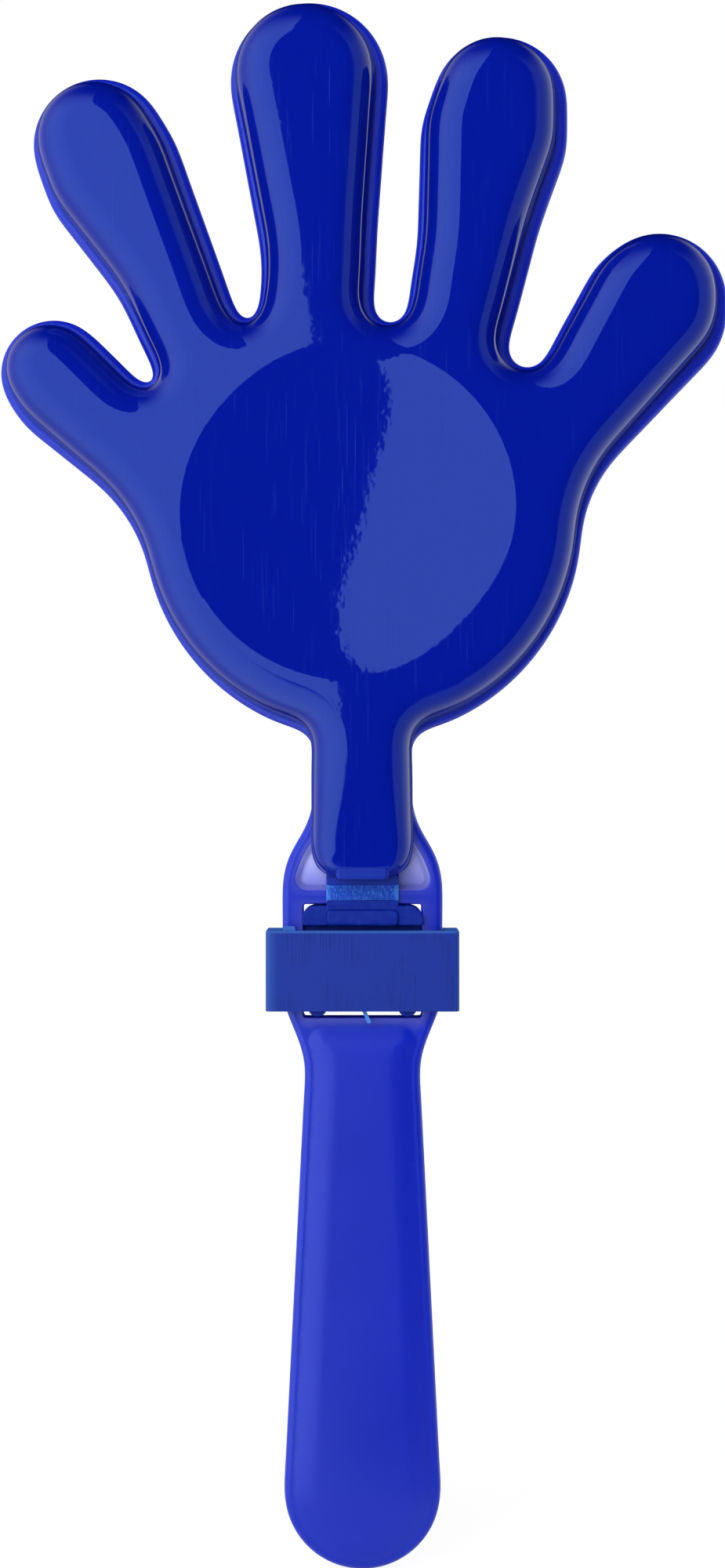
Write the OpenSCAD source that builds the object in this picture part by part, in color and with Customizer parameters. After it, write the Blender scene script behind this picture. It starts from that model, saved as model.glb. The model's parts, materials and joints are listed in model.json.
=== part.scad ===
// Hand clapper: two hollow hands swing on living hinges and clap against a flat hand on a handle.
// Millimetres. +Z runs up the fingers, +X to the thumb, the front faces -Y.
// The origin is the middle of the grip.

/* [Palm and neck] */
// Height of the palm's centre above the middle of the grip
palm_z = 141; // [138:0.5:150]
// Radius of an outer hand's palm
palm_r = 38.5; // [37.5:0.25:39]
// Width of an outer hand's neck
neck_w = 18; // [16:0.5:19]
// Rounding of the two corners at the neck's lower end
neck_corner = 4.6; // [4:0.1:5.5]
// Fillet between the neck and the palm
neck_fillet = 3.5; // [2:0.5:5]

/* [Fingers] */
// Radius of the thumb's tip
thumb_r = 10.5; // [9.5:0.25:11]
// Radius of the index finger's tip
index_r = 10.5; // [9.5:0.25:11]
// Radius of the middle finger's tip
middle_r = 12.5; // [11.5:0.25:13]
// Radius of the ring finger's tip
ring_r = 10; // [9:0.25:10.5]
// Radius of the little finger's tip
little_r = 8; // [7:0.25:8.5]
// How far the thumb's tip lies to the right of the palm's centre
thumb_reach = 53; // [52:0.25:54]
// How far the little finger's tip lies to the left of the palm's centre
little_reach = 55; // [54:0.25:56]
// How far the middle finger's tip lies above the palm's centre
middle_reach = 77.5; // [75:0.5:80]
// How much rounder a finger is just behind its tip
finger_swell = 1; // [0.5:0.1:1.2]
// Radius of the crotch between the thumb and the index finger
thumb_crotch_r = 5; // [4:0.25:6]
// Radius of the crotch between the index and middle fingers
index_crotch_r = 4.5; // [3.5:0.25:5]
// Radius of the crotches on both sides of the ring finger
ring_crotch_r = 3; // [2:0.25:3.5]
// Hollow under the thumb, where it runs into the palm
thumb_hollow_r = 27; // [22:1:30]
// Hollow under the little finger, where it runs into the palm
little_hollow_r = 30; // [25:1:32]

/* [Outer hands] */
// Depth of an outer hand from its rim to its face
shell_depth = 8.5; // [7:0.25:9]
// Wall thickness of an outer hand
shell_wall = 1.4; // [1:0.1:2]
// Rounding of the edge between the face and the sides
edge_r = 4; // [2.5:0.25:4.25]
// How far the lip along the rim stands out
lip_w = 0.4; // [0.2:0.1:0.6]
// Height of the lip along the rim
lip_h = 1.2; // [0.8:0.1:2]
// How far the front hand leans towards the little finger, in degrees
front_lean = 0.3; // [0:0.1:0.5]
// Gap between an outer hand's rim and the centre hand
clap_gap = 0.3; // [0.2:0.05:0.6]

/* [Centre hand] */
// Thickness of the centre hand's rim and of the frame round the window
plate_t = 5; // [4:0.25:6]
// How far the centre hand's fingers stand out past an outer hand's
centre_margin = 1.5; // [1:0.1:2]
// Radius of the centre hand's palm
centre_palm_r = 39.2; // [38.6:0.1:39.6]
// How much lower the centre hand sits than an outer hand
centre_drop = 0.7; // [0:0.1:1]
// Width of the centre hand's neck
centre_neck_w = 17.4; // [15:0.2:18]
// Thickness of the centre hand's floor inside its rim
floor_t = 1.6; // [1:0.1:2.5]
// Width of the rim round that floor
rim_w = 2.2; // [2:0.1:2.8]

/* [Handle] */
// Distance from the middle of the grip down to the centre of its round end
grip_drop = 33; // [25:1:50]
// Radius of the grip's round end
grip_end_r = 13.9; // [12:0.1:14]
// Width of the waist below the window
waist_w = 20.4; // [18:0.2:24]
// Distance from the window's lower edge down to the waist
waist_drop = 10; // [8:0.5:13]
// Hollow radius of the waist
waist_hollow_r = 14; // [8:0.5:16]
// Width of the shoulders round the window
shoulder_w = 28.4; // [28:0.2:30]
// Rounding of the lower shoulders
lower_shoulder_r = 6; // [4:0.5:8]
// Rounding of the upper shoulders
upper_shoulder_r = 15.5; // [12:0.5:18]
// Hollow radius between the upper shoulders and the neck
flare_hollow_r = 15; // [10:0.5:18]
// Distance from the window's upper edge up to where the flare has become the neck
flare_rise = 20; // [18:0.5:22]
// Height of the bar between the window and the centre hand's floor
bar_h = 2.5; // [2:0.1:4]
// Rise of the grip's panels over the frame
panel_rise = 1; // [0.5:0.1:1.2]
// Width of the flat band round a grip panel
panel_rim = 2.3; // [1.5:0.1:3]
// Rounding of a grip panel's upper corners
panel_corner = 1.8; // [1:0.1:2.5]
// Distance from the window's lower edge down to a grip panel
panel_land = 2.7; // [2:0.1:4]

/* [Window and feet] */
// Height of the window's lower edge above the middle of the grip
window_z = 51.6; // [48:0.2:53]
// Width of the window
window_w = 21; // [19:0.2:22]
// Height of the window
window_h = 20.1; // [20:0.1:21]
// Clearance of a foot in the window
foot_gap = 0.2; // [0.1:0.05:0.3]
// Width of a foot's shoulders, in front of the frame
foot_shoulder_w = 21.6; // [20:0.2:22.4]
// Height of a foot's shoulders
foot_shoulder_h = 3.6; // [3:0.1:3.8]
// Thickness of a foot's shoulders
foot_shoulder_t = 1; // [0.8:0.1:1.2]
// Rounding of the shoulders' upper corners
foot_corner = 1.7; // [1:0.1:1.8]
// Height of the rib across a foot
rib_h = 2.9; // [2:0.1:3]
// How far that rib stands out
rib_out = 0.8; // [0.4:0.1:1]
// Width of a snap leg
leg_w = 3.3; // [2.5:0.1:4]
// Distance between the middles of a foot's two legs
leg_pitch = 16; // [12:0.5:16.5]
// Length of a snap leg below the foot's plate
leg_l = 5; // [3:0.5:8]
// How far a leg's barb catches under the collar
barb_catch = 0.55; // [0.3:0.05:0.8]

/* [Living hinges] */
// Height of a hinge's axis above the window's upper edge
hinge_rise = 2.1; // [1.8:0.1:2.6]
// Width of a hinge's web
web_w = 12.9; // [8:0.1:13.5]
// Length of a hinge's web
web_l = 2.7; // [1.5:0.1:3]
// Thickness of a hinge's web
web_t = 0.6; // [0.4:0.05:0.9]
// Length of the tab between a web and the neck's end
tab_l = 1.35; // [0.8:0.05:2]
// Width of the bar on the neck's end
end_bar_w = 9.3; // [6:0.1:12]
// Height of the bar on the neck's end
end_bar_h = 2.1; // [1:0.1:3]
// How far that bar stands out from the rim
end_bar_out = 6.5; // [4:0.1:6.6]
// How far that bar reaches below the neck's end
end_bar_drop = 0.5; // [0:0.1:0.6]

/* [Collar] */
// Height of the collar
collar_h = 14.25; // [12:0.25:14.5]
// Clearance of the collar round the frame and the feet
collar_gap = 0.15; // [0.1:0.05:0.3]
// Play between the collar and the feet's shoulders
collar_play = 0.8; // [0.3:0.1:0.9]
// Thickness of the collar's narrow sides
collar_side = 2.8; // [2:0.1:4]
// Thickness of the collar's front and back
collar_face = 2.75; // [1.5:0.05:2.9]
// Rounding of the collar's upright edges
collar_corner = 0.8; // [0.4:0.1:1.5]

/* [Hidden] */

// Where the rounds of the hand's outline are centred, right of and above the palm's centre
thumb_tip = [thumb_reach, 39];
thumb_body = [thumb_reach - 1, 37];
index_tip = [24.5, 74];
index_body = [23.5, 68];
middle_tip = [-9.5, middle_reach];
ring_tip = [-46.5, 66.5];
ring_body = [-44, 61.5];
ring_shoulder = [-48, 60.5, 14.5];
little_tip = [-little_reach, 26];
little_body = [2.5 - little_reach, 24];
thumb_crotch = [29.5, 30.5];
index_crotch = [5, 38];
middle_crotch = [-20.5, 37];
ring_crotch = [-38.5, 25.5];
// Long shallow flanks of the fingers: centre and radius
index_right = [74, 38.5, 46];
index_left = [-28, 53, 39.5];
middle_right = [61, 48.5, 60];
middle_left = [-50.5, 44.5, 34];
ring_right = [10.5, 53, 38];
ring_left = [-73.5, 21.5, 36.5];
// Directions from the palm's centre in which the two hollows touch the palm
thumb_hollow_at = -5;
little_hollow_at = 193;

// Angle between points on a round, and the turn past which a round is only touched
arc_step = 15;
most_turn = 300;
// Points closer than this are one point
least_step = 0.05;
curve_fn = 96;
// How far a cut runs past the face that it opens
cut_over = 1;
// Step behind the tab, and the least round that is left on an inset corner
tab_step = 0.05;
least_round = 0.1;
half_t = plate_t / 2;
rim_y = half_t + clap_gap;
face_y = rim_y + shell_depth;
window_top = window_z + window_h;
hinge_z = window_top + hinge_rise;
neck_end_z = hinge_z + web_l / 2 + tab_l;
corner_r = max(neck_corner, lip_w + edge_r + least_round);
foot_front = half_t + panel_rise;
foot_bottom = window_z + foot_gap;
foot_top = window_top - foot_gap;
foot_w = window_w - 2 * foot_gap;
shoulder_bottom = foot_top - foot_shoulder_h;
shoulder_front = rim_y + foot_shoulder_t;
collar_in_y = foot_front + collar_gap;
collar_in_x = shoulder_w / 2 + collar_gap;
collar_z = shoulder_bottom - collar_play - collar_h;
barb_top = collar_z - collar_gap;
panel_top = window_z - panel_land;

// An angle brought into the range from 0 to 360 degrees
function fold(a) = a - 360 * floor(a / 360);

// Direction of the outward normal on the straight run from round a to round b
function run_angle(a, b) =
    let (v = [b[0] - a[0], b[1] - a[1]])
    atan2(v[1], v[0]) - 90 + asin(max(-1, min(1, (a[2] - b[2]) / norm(v))));

// How far an outline turns on a round of radius r, backwards on a hollow one
function turn(r, from, to) =
    let (t = r > 0 ? fold(to - from) : -fold(from - to))
    abs(t) > most_turn ? 0 : t;

// Points [x, z, normal x, normal z] of a belt laid round a list of rounds [x, z, radius],
// counter-clockwise seen from the front; a negative radius is a hollow
function belt(rounds) =
    let (n = len(rounds))
    [for (i = [0 : n - 1])
        let (
            c = rounds[i],
            from = run_angle(rounds[(i + n - 1) % n], c),
            to = run_angle(c, rounds[(i + 1) % n]),
            sweep = turn(c[2], from, to),
            steps = max(1, ceil(abs(sweep) / arc_step))
        )
        for (k = [0 : steps])
            let (a = from + sweep * k / steps)
            [c[0] + c[2] * cos(a), c[1] + c[2] * sin(a), cos(a), sin(a)]];

// A belt without the points that repeat the one before
function spaced(p) =
    [for (i = [0 : len(p) - 1])
        let (q = p[(i + len(p) - 1) % len(p)])
        if (norm([p[i][0] - q[0], p[i][1] - q[1]]) > least_step) p[i]];

function outline(rounds) = spaced(belt(rounds));
function flat(edge) = [for (p = edge) [p[0], p[1]]];
function grown(rounds, by) = [for (c = rounds) [c[0], c[1], c[2] + by]];
function mirrored(rounds) =
    [for (i = [len(rounds) - 1 : -1 : 0]) [-rounds[i][0], rounds[i][1], rounds[i][2]]];

// Rounds of a hand from the right of its neck to the left, with its fingers grown by a margin
function hand_rounds(palm, neck, margin, drop) =
    let (
        mid = palm_z - drop,
        fillet_x = neck / 2 + neck_fillet,
        fillet_z = mid - sqrt(pow(palm + neck_fillet, 2) - pow(fillet_x, 2)),
        thumb_hollow = palm + thumb_hollow_r - margin,
        little_hollow = palm + little_hollow_r - margin,
        thumb = concat(thumb_body, thumb_r + finger_swell),
        index = concat(index_body, index_r + finger_swell),
        fingers = grown([
            thumb, concat(thumb_tip, thumb_r), thumb,
            concat(thumb_crotch, -thumb_crotch_r),
            [index_right[0], index_right[1], -index_right[2]],
            index, concat(index_tip, index_r), index,
            [index_left[0], index_left[1], -index_left[2]],
            concat(index_crotch, -index_crotch_r),
            [middle_right[0], middle_right[1], -middle_right[2]],
            concat(middle_tip, middle_r),
            [middle_left[0], middle_left[1], -middle_left[2]],
            concat(middle_crotch, -ring_crotch_r),
            [ring_right[0], ring_right[1], -ring_right[2]],
            ring_shoulder, concat(ring_tip, ring_r), concat(ring_body, ring_r + finger_swell),
            [ring_left[0], ring_left[1], -ring_left[2]],
            concat(ring_crotch, -ring_crotch_r),
            concat(little_tip, little_r), concat(little_body, little_r + finger_swell)
        ], margin)
    )
    concat(
        [[fillet_x, fillet_z, -neck_fillet], [0, mid, palm]],
        [[thumb_hollow * cos(thumb_hollow_at), mid + thumb_hollow * sin(thumb_hollow_at),
          margin - thumb_hollow_r]],
        [for (c = fingers) [c[0], mid + c[1], c[2]]],
        [[little_hollow * cos(little_hollow_at), mid + little_hollow * sin(little_hollow_at),
          margin - little_hollow_r]],
        [[0, mid, palm], [-fillet_x, fillet_z, -neck_fillet]]
    );

// An outer hand's outline at its lip, with the neck's two lower corners
neck_corners = [[corner_r - neck_w / 2, neck_end_z + corner_r, corner_r],
                [neck_w / 2 - corner_r, neck_end_z + corner_r, corner_r]];
outer_edge = outline(concat(neck_corners, hand_rounds(palm_r, neck_w, 0, 0)));

// Right side of the handle from the waist up to the neck
grip_end = [0, -grip_drop, grip_end_r];
waist = [waist_w / 2 + waist_hollow_r, window_z - waist_drop, -waist_hollow_r];
shoulders = [
    [shoulder_w / 2 - lower_shoulder_r, window_z + lower_shoulder_r * 2 / 3, lower_shoulder_r],
    [shoulder_w / 2 - upper_shoulder_r, window_top + bar_h, upper_shoulder_r]];
flare = [centre_neck_w / 2 + flare_hollow_r, window_top + flare_rise, -flare_hollow_r];
centre_rounds = hand_rounds(centre_palm_r, centre_neck_w, centre_margin, centre_drop);
handle_side = concat([waist], shoulders, [flare]);
plate_line = outline(concat([grip_end], handle_side, centre_rounds, mirrored(handle_side)));

// The floor inside the rim: the same line moved in, closed by the bar above the window
floor_corner = 1.5;
floor_side = grown([shoulders[1], flare], -rim_w);
floor_corners = [[shoulder_w / 2 - rim_w - floor_corner, window_top + bar_h + floor_corner, floor_corner]];
floor_line = outline(concat(mirrored(floor_corners), floor_corners, floor_side,
                            grown(centre_rounds, -rim_w), mirrored(floor_side)));

// A grip panel: the handle's line moved in, closed by the land below the window
panel_corner_z = panel_top - panel_corner;
panel_hollow = waist_hollow_r + panel_rim;
panel_corner_x = waist[0] - panel_corner
    - sqrt(pow(panel_hollow, 2) - pow(min(panel_corner_z - waist[1], panel_hollow), 2));
panel_side = [[waist[0], waist[1], -panel_hollow], [panel_corner_x, panel_corner_z, panel_corner]];
panel_line = outline(concat(grown([grip_end], -panel_rim), panel_side, mirrored(panel_side)));

// Points on a quarter round of radius r: [inset, distance out of the plane], from the side to the face
function quarter(r, steps) = [for (k = [0 : steps]) [r * (1 - cos(90 * k / steps)), r * sin(90 * k / steps)]];

// A flat plate of a given outline, from y = back forward to y = back - thick
module plate(edge, back, thick) {
    translate([0, back, 0]) rotate([90, 0, 0]) linear_extrude(thick) polygon(flat(edge));
}

// A box between two opposite corners
module box(low, high) {
    translate(low) cube(high - low);
}

function backwards(list) = [for (i = [len(list) - 1 : -1 : 0]) list[i]];

// Twice the area of the triangle a, b, c, above 0 where it turns to the left
function turn_area(a, b, c) = (b[0] - a[0]) * (c[1] - a[1]) - (b[1] - a[1]) * (c[0] - a[0]);

function covers(a, b, c, p) =
    turn_area(a, b, p) >= 0 && turn_area(b, c, p) >= 0 && turn_area(c, a, p) >= 0;

// The triangle at corner i of a loop of point numbers
function corner(loop, i) =
    let (n = len(loop))
    [loop[(i + n - 1) % n], loop[i], loop[(i + 1) % n]];

// Whether that corner can be cut off: it turns to the left, and holds no other point of the loop
function is_free(points, loop, i) =
    let (t = corner(loop, i), a = points[t[0]], b = points[t[1]], c = points[t[2]])
    turn_area(a, b, c) > 0
        && len([for (k = loop) if (len(search(k, t)) == 0 && covers(a, b, c, points[k])) k]) == 0;

function free_corner(points, loop, i = 0) =
    is_free(points, loop, i) ? i : free_corner(points, loop, i + 1);

// Triangles that fill a loop, made by cutting off one free corner after another
function filled(points, loop, done = []) =
    len(loop) == 3 ? concat(done, [loop]) :
    let (i = free_corner(points, loop))
    filled(points, [for (k = [0 : len(loop) - 1]) if (k != i) loop[k]], concat(done, [corner(loop, i)]));

// Hollow shell of an outer hand: copies of its edge, each moved in by steps[j][0] at y = steps[j][1],
// skinned from the inner face out round the rim to the outer face
module shell() {
    inner_r = max(edge_r - shell_wall, least_round);
    inner = [for (q = quarter(inner_r, 2))
        [lip_w + shell_wall + q[0], -face_y + shell_wall + inner_r - q[1]]];
    outer = [for (q = quarter(edge_r, 3)) [lip_w + q[0], -face_y + edge_r - q[1]]];
    rim = [[lip_w + shell_wall, -rim_y], [0, -rim_y], [0, -rim_y - lip_h], [lip_w, -rim_y - lip_h - lip_w]];
    steps = concat(backwards(inner), rim, outer);
    n = len(outer_edge);
    last = (len(steps) - 1) * n;
    sides = [for (j = [0 : len(steps) - 2]) for (i = [0 : n - 1])
        let (a = j * n + i, b = j * n + (i + 1) % n)
        for (face = [[a, a + n, b + n], [a, b + n, b]]) face];
    inset_edge = [for (p = outer_edge) [p[0] - steps[0][0] * p[2], p[1] - steps[0][0] * p[3]]];
    face = filled(inset_edge, [for (i = [0 : n - 1]) i]);
    outer_face = [for (t = face) [last + t[2], last + t[1], last + t[0]]];
    polyhedron(
        [for (s = steps) for (p = outer_edge) [p[0] - s[0] * p[2], s[1], p[1] - s[0] * p[3]]],
        concat(face, sides, outer_face));
}

// An outer hand, leaning about the middle of its hinge, with the bar on its neck's end
// and the tab that the web starts from, which doesn't lean
module outer_hand(lean) {
    translate([0, 0, hinge_z]) rotate([0, -lean, 0]) translate([0, 0, -hinge_z]) {
        shell();
        box([-end_bar_w / 2, -rim_y - end_bar_out, neck_end_z - end_bar_drop],
            [end_bar_w / 2, -rim_y - shell_wall, neck_end_z - end_bar_drop + end_bar_h]);
    }
    box([-web_w / 2, -shoulder_front, hinge_z + web_l / 2],
        [web_w / 2, -rim_y - tab_step, neck_end_z + lip_w + shell_wall / 2]);
}

// The web that flexes between the tab and the foot
module web() {
    box([-web_w / 2, -rim_y - web_t, hinge_z - web_l / 2], [web_w / 2, -rim_y, hinge_z + web_l / 2]);
}

// One snap leg, with its barb under the collar
module leg(x) {
    round_r = leg_w / 2 - least_round;
    line = outline([
        [x - leg_w / 2 + round_r, foot_bottom + round_r, round_r],
        [x + leg_w / 2 - round_r, foot_bottom + round_r, round_r],
        [x + leg_w / 2 - round_r, foot_bottom + leg_l, round_r],
        [x - leg_w / 2 + round_r, foot_bottom + leg_l, round_r]]);
    plate(line, -foot_gap / 2, foot_front - foot_gap / 2);
    intersection() {
        plate(line, -foot_gap / 2, collar_in_y + barb_catch - foot_gap / 2);
        box([x - leg_w, -collar_in_y - barb_catch, foot_bottom - cut_over], [x + leg_w, 0, barb_top]);
    }
}

// A foot: plate in the window, shoulders in front of the frame, rib, tab and two legs
module foot() {
    top_x = foot_shoulder_w / 2 - foot_corner;
    low_r = foot_corner / 3;
    low_x = foot_shoulder_w / 2 - low_r;
    shoulder_line = outline([
        [low_x, shoulder_bottom + low_r, low_r], [top_x, foot_top - foot_corner, foot_corner],
        [-top_x, foot_top - foot_corner, foot_corner], [-low_x, shoulder_bottom + low_r, low_r]]);
    pad_top = shoulder_bottom - collar_play;
    box([-foot_w / 2, -half_t, foot_bottom + leg_l], [foot_w / 2, -foot_gap / 2, shoulder_bottom + low_r]);
    box([-foot_w / 2, -foot_front, foot_bottom + leg_l], [foot_w / 2, -half_t / 2, pad_top]);
    box([-top_x, -rim_y, shoulder_bottom], [top_x, -foot_gap / 2, foot_top]);
    plate(shoulder_line, -rim_y, foot_shoulder_t);
    box([-web_w / 2, -shoulder_front - rib_out, shoulder_bottom],
        [web_w / 2, -rim_y, shoulder_bottom + rib_h]);
    box([-web_w / 2, -shoulder_front, shoulder_bottom], [web_w / 2, -rim_y, hinge_z - web_l / 2]);
    for (side = [-1, 1]) leg(side * leg_pitch / 2);
}

// A rectangle with true round corners, centred
module round_rect(w, d, r) {
    square([w - 2 * r, d], center = true);
    square([w, d - 2 * r], center = true);
    for (x = [-1, 1], y = [-1, 1])
        translate([x * (w / 2 - r), y * (d / 2 - r)]) circle(r, $fn = curve_fn);
}

// A raised panel on the front of the grip, sunk into the frame behind it
module grip_panel() {
    plate(panel_line, -half_t / 2, half_t / 2 + panel_rise);
}

module handle_centre_hand() {
    color("#2438BC") difference() {
        union() {
            plate(plate_line, half_t, plate_t);
            grip_panel();
            mirror([0, 1, 0]) grip_panel();
        }
        plate(floor_line, -floor_t / 2, half_t + cut_over);
        mirror([0, 1, 0]) plate(floor_line, -floor_t / 2, half_t + cut_over);
        box([-window_w / 2, -half_t - cut_over, window_z], [window_w / 2, half_t + cut_over, window_top]);
    }
}

module front_hand() {
    color("#0618A6") outer_hand(front_lean);
}

module front_living_hinge() {
    color("#1E50C8") web();
}

module front_hinge_foot() {
    color("#0C2496") foot();
}

module rear_hand() {
    color("#0618A6") mirror([0, 1, 0]) outer_hand(0);
}

module rear_living_hinge() {
    color("#1E50C8") mirror([0, 1, 0]) web();
}

module rear_hinge_foot() {
    color("#0C2496") mirror([0, 1, 0]) foot();
}

module collar() {
    color("#1C34A4") translate([0, 0, collar_z]) linear_extrude(collar_h) difference() {
        round_rect(2 * (collar_in_x + collar_side), 2 * (collar_in_y + collar_face), collar_corner);
        square([2 * collar_in_x, 2 * collar_in_y], center = true);
    }
}

handle_centre_hand();
front_hand();
front_living_hinge();
front_hinge_foot();
rear_hand();
rear_living_hinge();
rear_hinge_foot();
collar();
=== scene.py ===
"""Looks of the hand clapper: moulded surfaces, plastics, studio and camera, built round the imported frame."""

import json
import math

import bpy
import numpy as np
from bpy.props import FloatProperty, FloatVectorProperty, PointerProperty
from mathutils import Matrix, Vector
from mathutils.geometry import delaunay_2d_cdt


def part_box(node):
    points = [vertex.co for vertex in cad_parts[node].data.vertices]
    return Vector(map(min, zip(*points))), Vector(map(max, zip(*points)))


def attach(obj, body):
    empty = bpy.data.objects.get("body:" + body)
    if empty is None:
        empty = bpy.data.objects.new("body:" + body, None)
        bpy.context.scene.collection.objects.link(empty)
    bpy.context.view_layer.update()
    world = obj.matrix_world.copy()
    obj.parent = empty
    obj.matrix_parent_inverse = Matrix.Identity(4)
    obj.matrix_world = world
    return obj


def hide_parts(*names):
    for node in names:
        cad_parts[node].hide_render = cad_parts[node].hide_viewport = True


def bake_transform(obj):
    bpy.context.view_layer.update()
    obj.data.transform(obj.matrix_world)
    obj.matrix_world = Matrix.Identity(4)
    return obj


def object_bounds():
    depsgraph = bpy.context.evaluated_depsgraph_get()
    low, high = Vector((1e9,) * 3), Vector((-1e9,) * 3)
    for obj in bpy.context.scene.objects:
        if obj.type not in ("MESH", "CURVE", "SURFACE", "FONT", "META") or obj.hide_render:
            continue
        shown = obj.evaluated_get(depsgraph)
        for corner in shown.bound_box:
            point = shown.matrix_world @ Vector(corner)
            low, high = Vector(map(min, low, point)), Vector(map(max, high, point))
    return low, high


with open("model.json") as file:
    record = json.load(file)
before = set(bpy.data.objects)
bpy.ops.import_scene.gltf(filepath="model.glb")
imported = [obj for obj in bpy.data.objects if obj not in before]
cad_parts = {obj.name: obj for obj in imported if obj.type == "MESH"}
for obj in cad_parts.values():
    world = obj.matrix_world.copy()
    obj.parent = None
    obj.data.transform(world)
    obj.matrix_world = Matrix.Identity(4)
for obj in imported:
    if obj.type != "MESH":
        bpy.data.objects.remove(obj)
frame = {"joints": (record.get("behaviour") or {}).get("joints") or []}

bl_info = {
    "name": "Hand clapper",
    "version": (1, 0, 0),
    "blender": (4, 5, 0),
    "location": "3D View > Sidebar > Clapper",
    "description": "Builds the mouldings, plastics and studio of a party hand clapper",
    "category": "Object",
}

MM = 0.001
TAU = 2 * math.pi
# Arcs are cut into steps of these angles: in outlines, in cross-sections, and in those along the handle's long edges,
# where wider steps keep its mesh small
OUTLINE_STEP = math.radians(3)
SECTION_STEP = math.radians(11)
LONG_EDGE_STEP = 2 * SECTION_STEP
# A round that would be turned through more than this is only touched by the outline
MOST_TURN = math.radians(300)
# Points of an outline that are closer than this are one
SAME_PLACE = 1e-3 * MM
# An edge's arc takes up nearly the whole edge, so that its ends stay apart from the points next to them
NEARLY = 0.98
CAD_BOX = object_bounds()
HINGE_Z = frame["joints"][0]["pos_m"][2]


def linear(hex_colour):
    """sRGB hex to linear: the low end is a straight line, the rest a power of 2.4."""
    srgb = [int(hex_colour[k:k + 2], 16) / 255 for k in (1, 3, 5)]
    return [c / 12.92 if c <= 0.04045 else ((c + 0.055) / 1.055) ** 2.4 for c in srgb]


def size(name, description, millimetres):
    """A length that a user would change, kept in metres."""
    return FloatProperty(name=name, description=description, default=millimetres * MM, unit="LENGTH")


def colour(name, description, hex_colour):
    """A colour that a user would change, kept linear."""
    return FloatVectorProperty(name=name, description=description, subtype="COLOR", size=3,
                               default=linear(hex_colour), min=0, max=1)


class HandSizes(bpy.types.PropertyGroup):
    """Sizes of an outer hand."""
    palm_z: size("Palm height", "Palm's centre above the middle of the grip", 141)
    palm_r: size("Palm radius", "Radius of the palm", 38.5)
    neck_w: size("Neck width", "Width of the neck", 18)
    neck_end: size("Neck end", "Height of the neck's lower end", 76.5)
    neck_corner: size("Neck corner", "Rounding of the neck's lower corners", 4.6)
    neck_fillet: size("Neck fillet", "Fillet between neck and palm", 3.5)
    thumb_r: size("Thumb", "Radius of the thumb's tip", 10.5)
    index_r: size("Index finger", "Radius of the index finger's tip", 10.5)
    middle_r: size("Middle finger", "Radius of the middle finger's tip", 12.5)
    ring_r: size("Ring finger", "Radius of the ring finger's tip", 10.3)
    little_r: size("Little finger", "Radius of the little finger's tip", 8)
    swell: size("Swell", "How much rounder a finger is just behind its tip", 1)
    neck_sink: size("Neck sink", "How far the neck's end lies below the face, which clears the collar", 1.65)
    wall: size("Wall", "Thickness of the shell", 1.4)
    edge_r: size("Edge rounding", "Rounding between the face and the sides, narrower at the neck's end", 6)
    ease: size("Ease", "Length over which the outline's changes of curve are softened", 2.5)
    lip_w: size("Lip width", "How far the lip along the rim stands out", 0.4)
    lip_h: size("Lip height", "Height of that lip", 1.2)
    dish_x: size("Dish place", "Dish's centre to the right of the palm's", -2.1)
    dish_r: size("Dish radius", "Radius of the shallow dish in the palm", 29.5)
    dish_depth: size("Dish depth", "Depth of that dish", 1.1)
    dish_tilt: size("Dish tilt", "How far that dish tips to the right", -0.027)
    dish_twist: size("Dish twist", "Warp of that dish", 0.3)
    lean: FloatProperty(name="Lean", description="How far the front hand leans to the little finger",
                        default=math.radians(0.3), subtype="ANGLE")


class HandleSizes(bpy.types.PropertyGroup):
    """Sizes of the handle with the centre hand."""
    plate_t: size("Plate", "Thickness of the rim and the frame", 5)
    edge_r: size("Edge rounding", "Rounding of the plate's edges", 1.1)
    margin: size("Margin", "How far the fingers stand out past an outer hand's", 1.5)
    palm_r: size("Palm radius", "Radius of the centre palm", 39.2)
    drop: size("Drop", "How much lower the centre hand sits", 0.7)
    neck_w: size("Neck width", "Width of the centre neck", 17.4)
    rim_w: size("Rim", "Width of the rim round the thin floor", 2.2)
    floor_t: size("Floor", "Thickness of that floor", 1.6)
    grip_drop: size("Grip end", "Round end's centre below the middle of the grip", 33)
    grip_end_r: size("Grip end radius", "Radius of the grip's round end", 13.9)
    waist_w: size("Waist", "Width of the waist below the window", 20.4)
    waist_z: size("Waist height", "Height of the waist", 41.6)
    waist_hollow: size("Waist hollow", "Hollow radius of the waist", 14)
    shoulder_w: size("Shoulders", "Width round the window", 28.4)
    lower_round: size("Lower shoulders", "Rounding of the lower shoulders", 6)
    upper_round: size("Upper shoulders", "Rounding of the upper shoulders", 15.5)
    flare_hollow: size("Flare hollow", "Hollow radius between shoulders and neck", 15)
    flare_z: size("Flare height", "Height where the flare has become the neck", 91.7)
    window_w: size("Window width", "Width of the window", 21)
    window_low: size("Window foot", "Height of the window's lower edge", 51.6)
    window_high: size("Window head", "Height of the window's upper edge", 71.7)
    bar_h: size("Bar", "Bar between the window and the thin floor", 2.5)
    panel_rise: size("Panel rise", "Rise of the grip's panels", 1)
    panel_rim: size("Panel rim", "Width of the band round a panel", 2.3)
    panel_corner: size("Panel corner", "Rounding of a panel's upper corners", 1.8)
    panel_top: size("Panel top", "Height of a panel's upper edge", 48.9)
    panel_slope: size("Panel foot", "How far a panel's foot spreads out past its outline", 1)
    crown_w: size("Panel crown", "Width over which a panel rises to its flat", 4.6)


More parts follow.
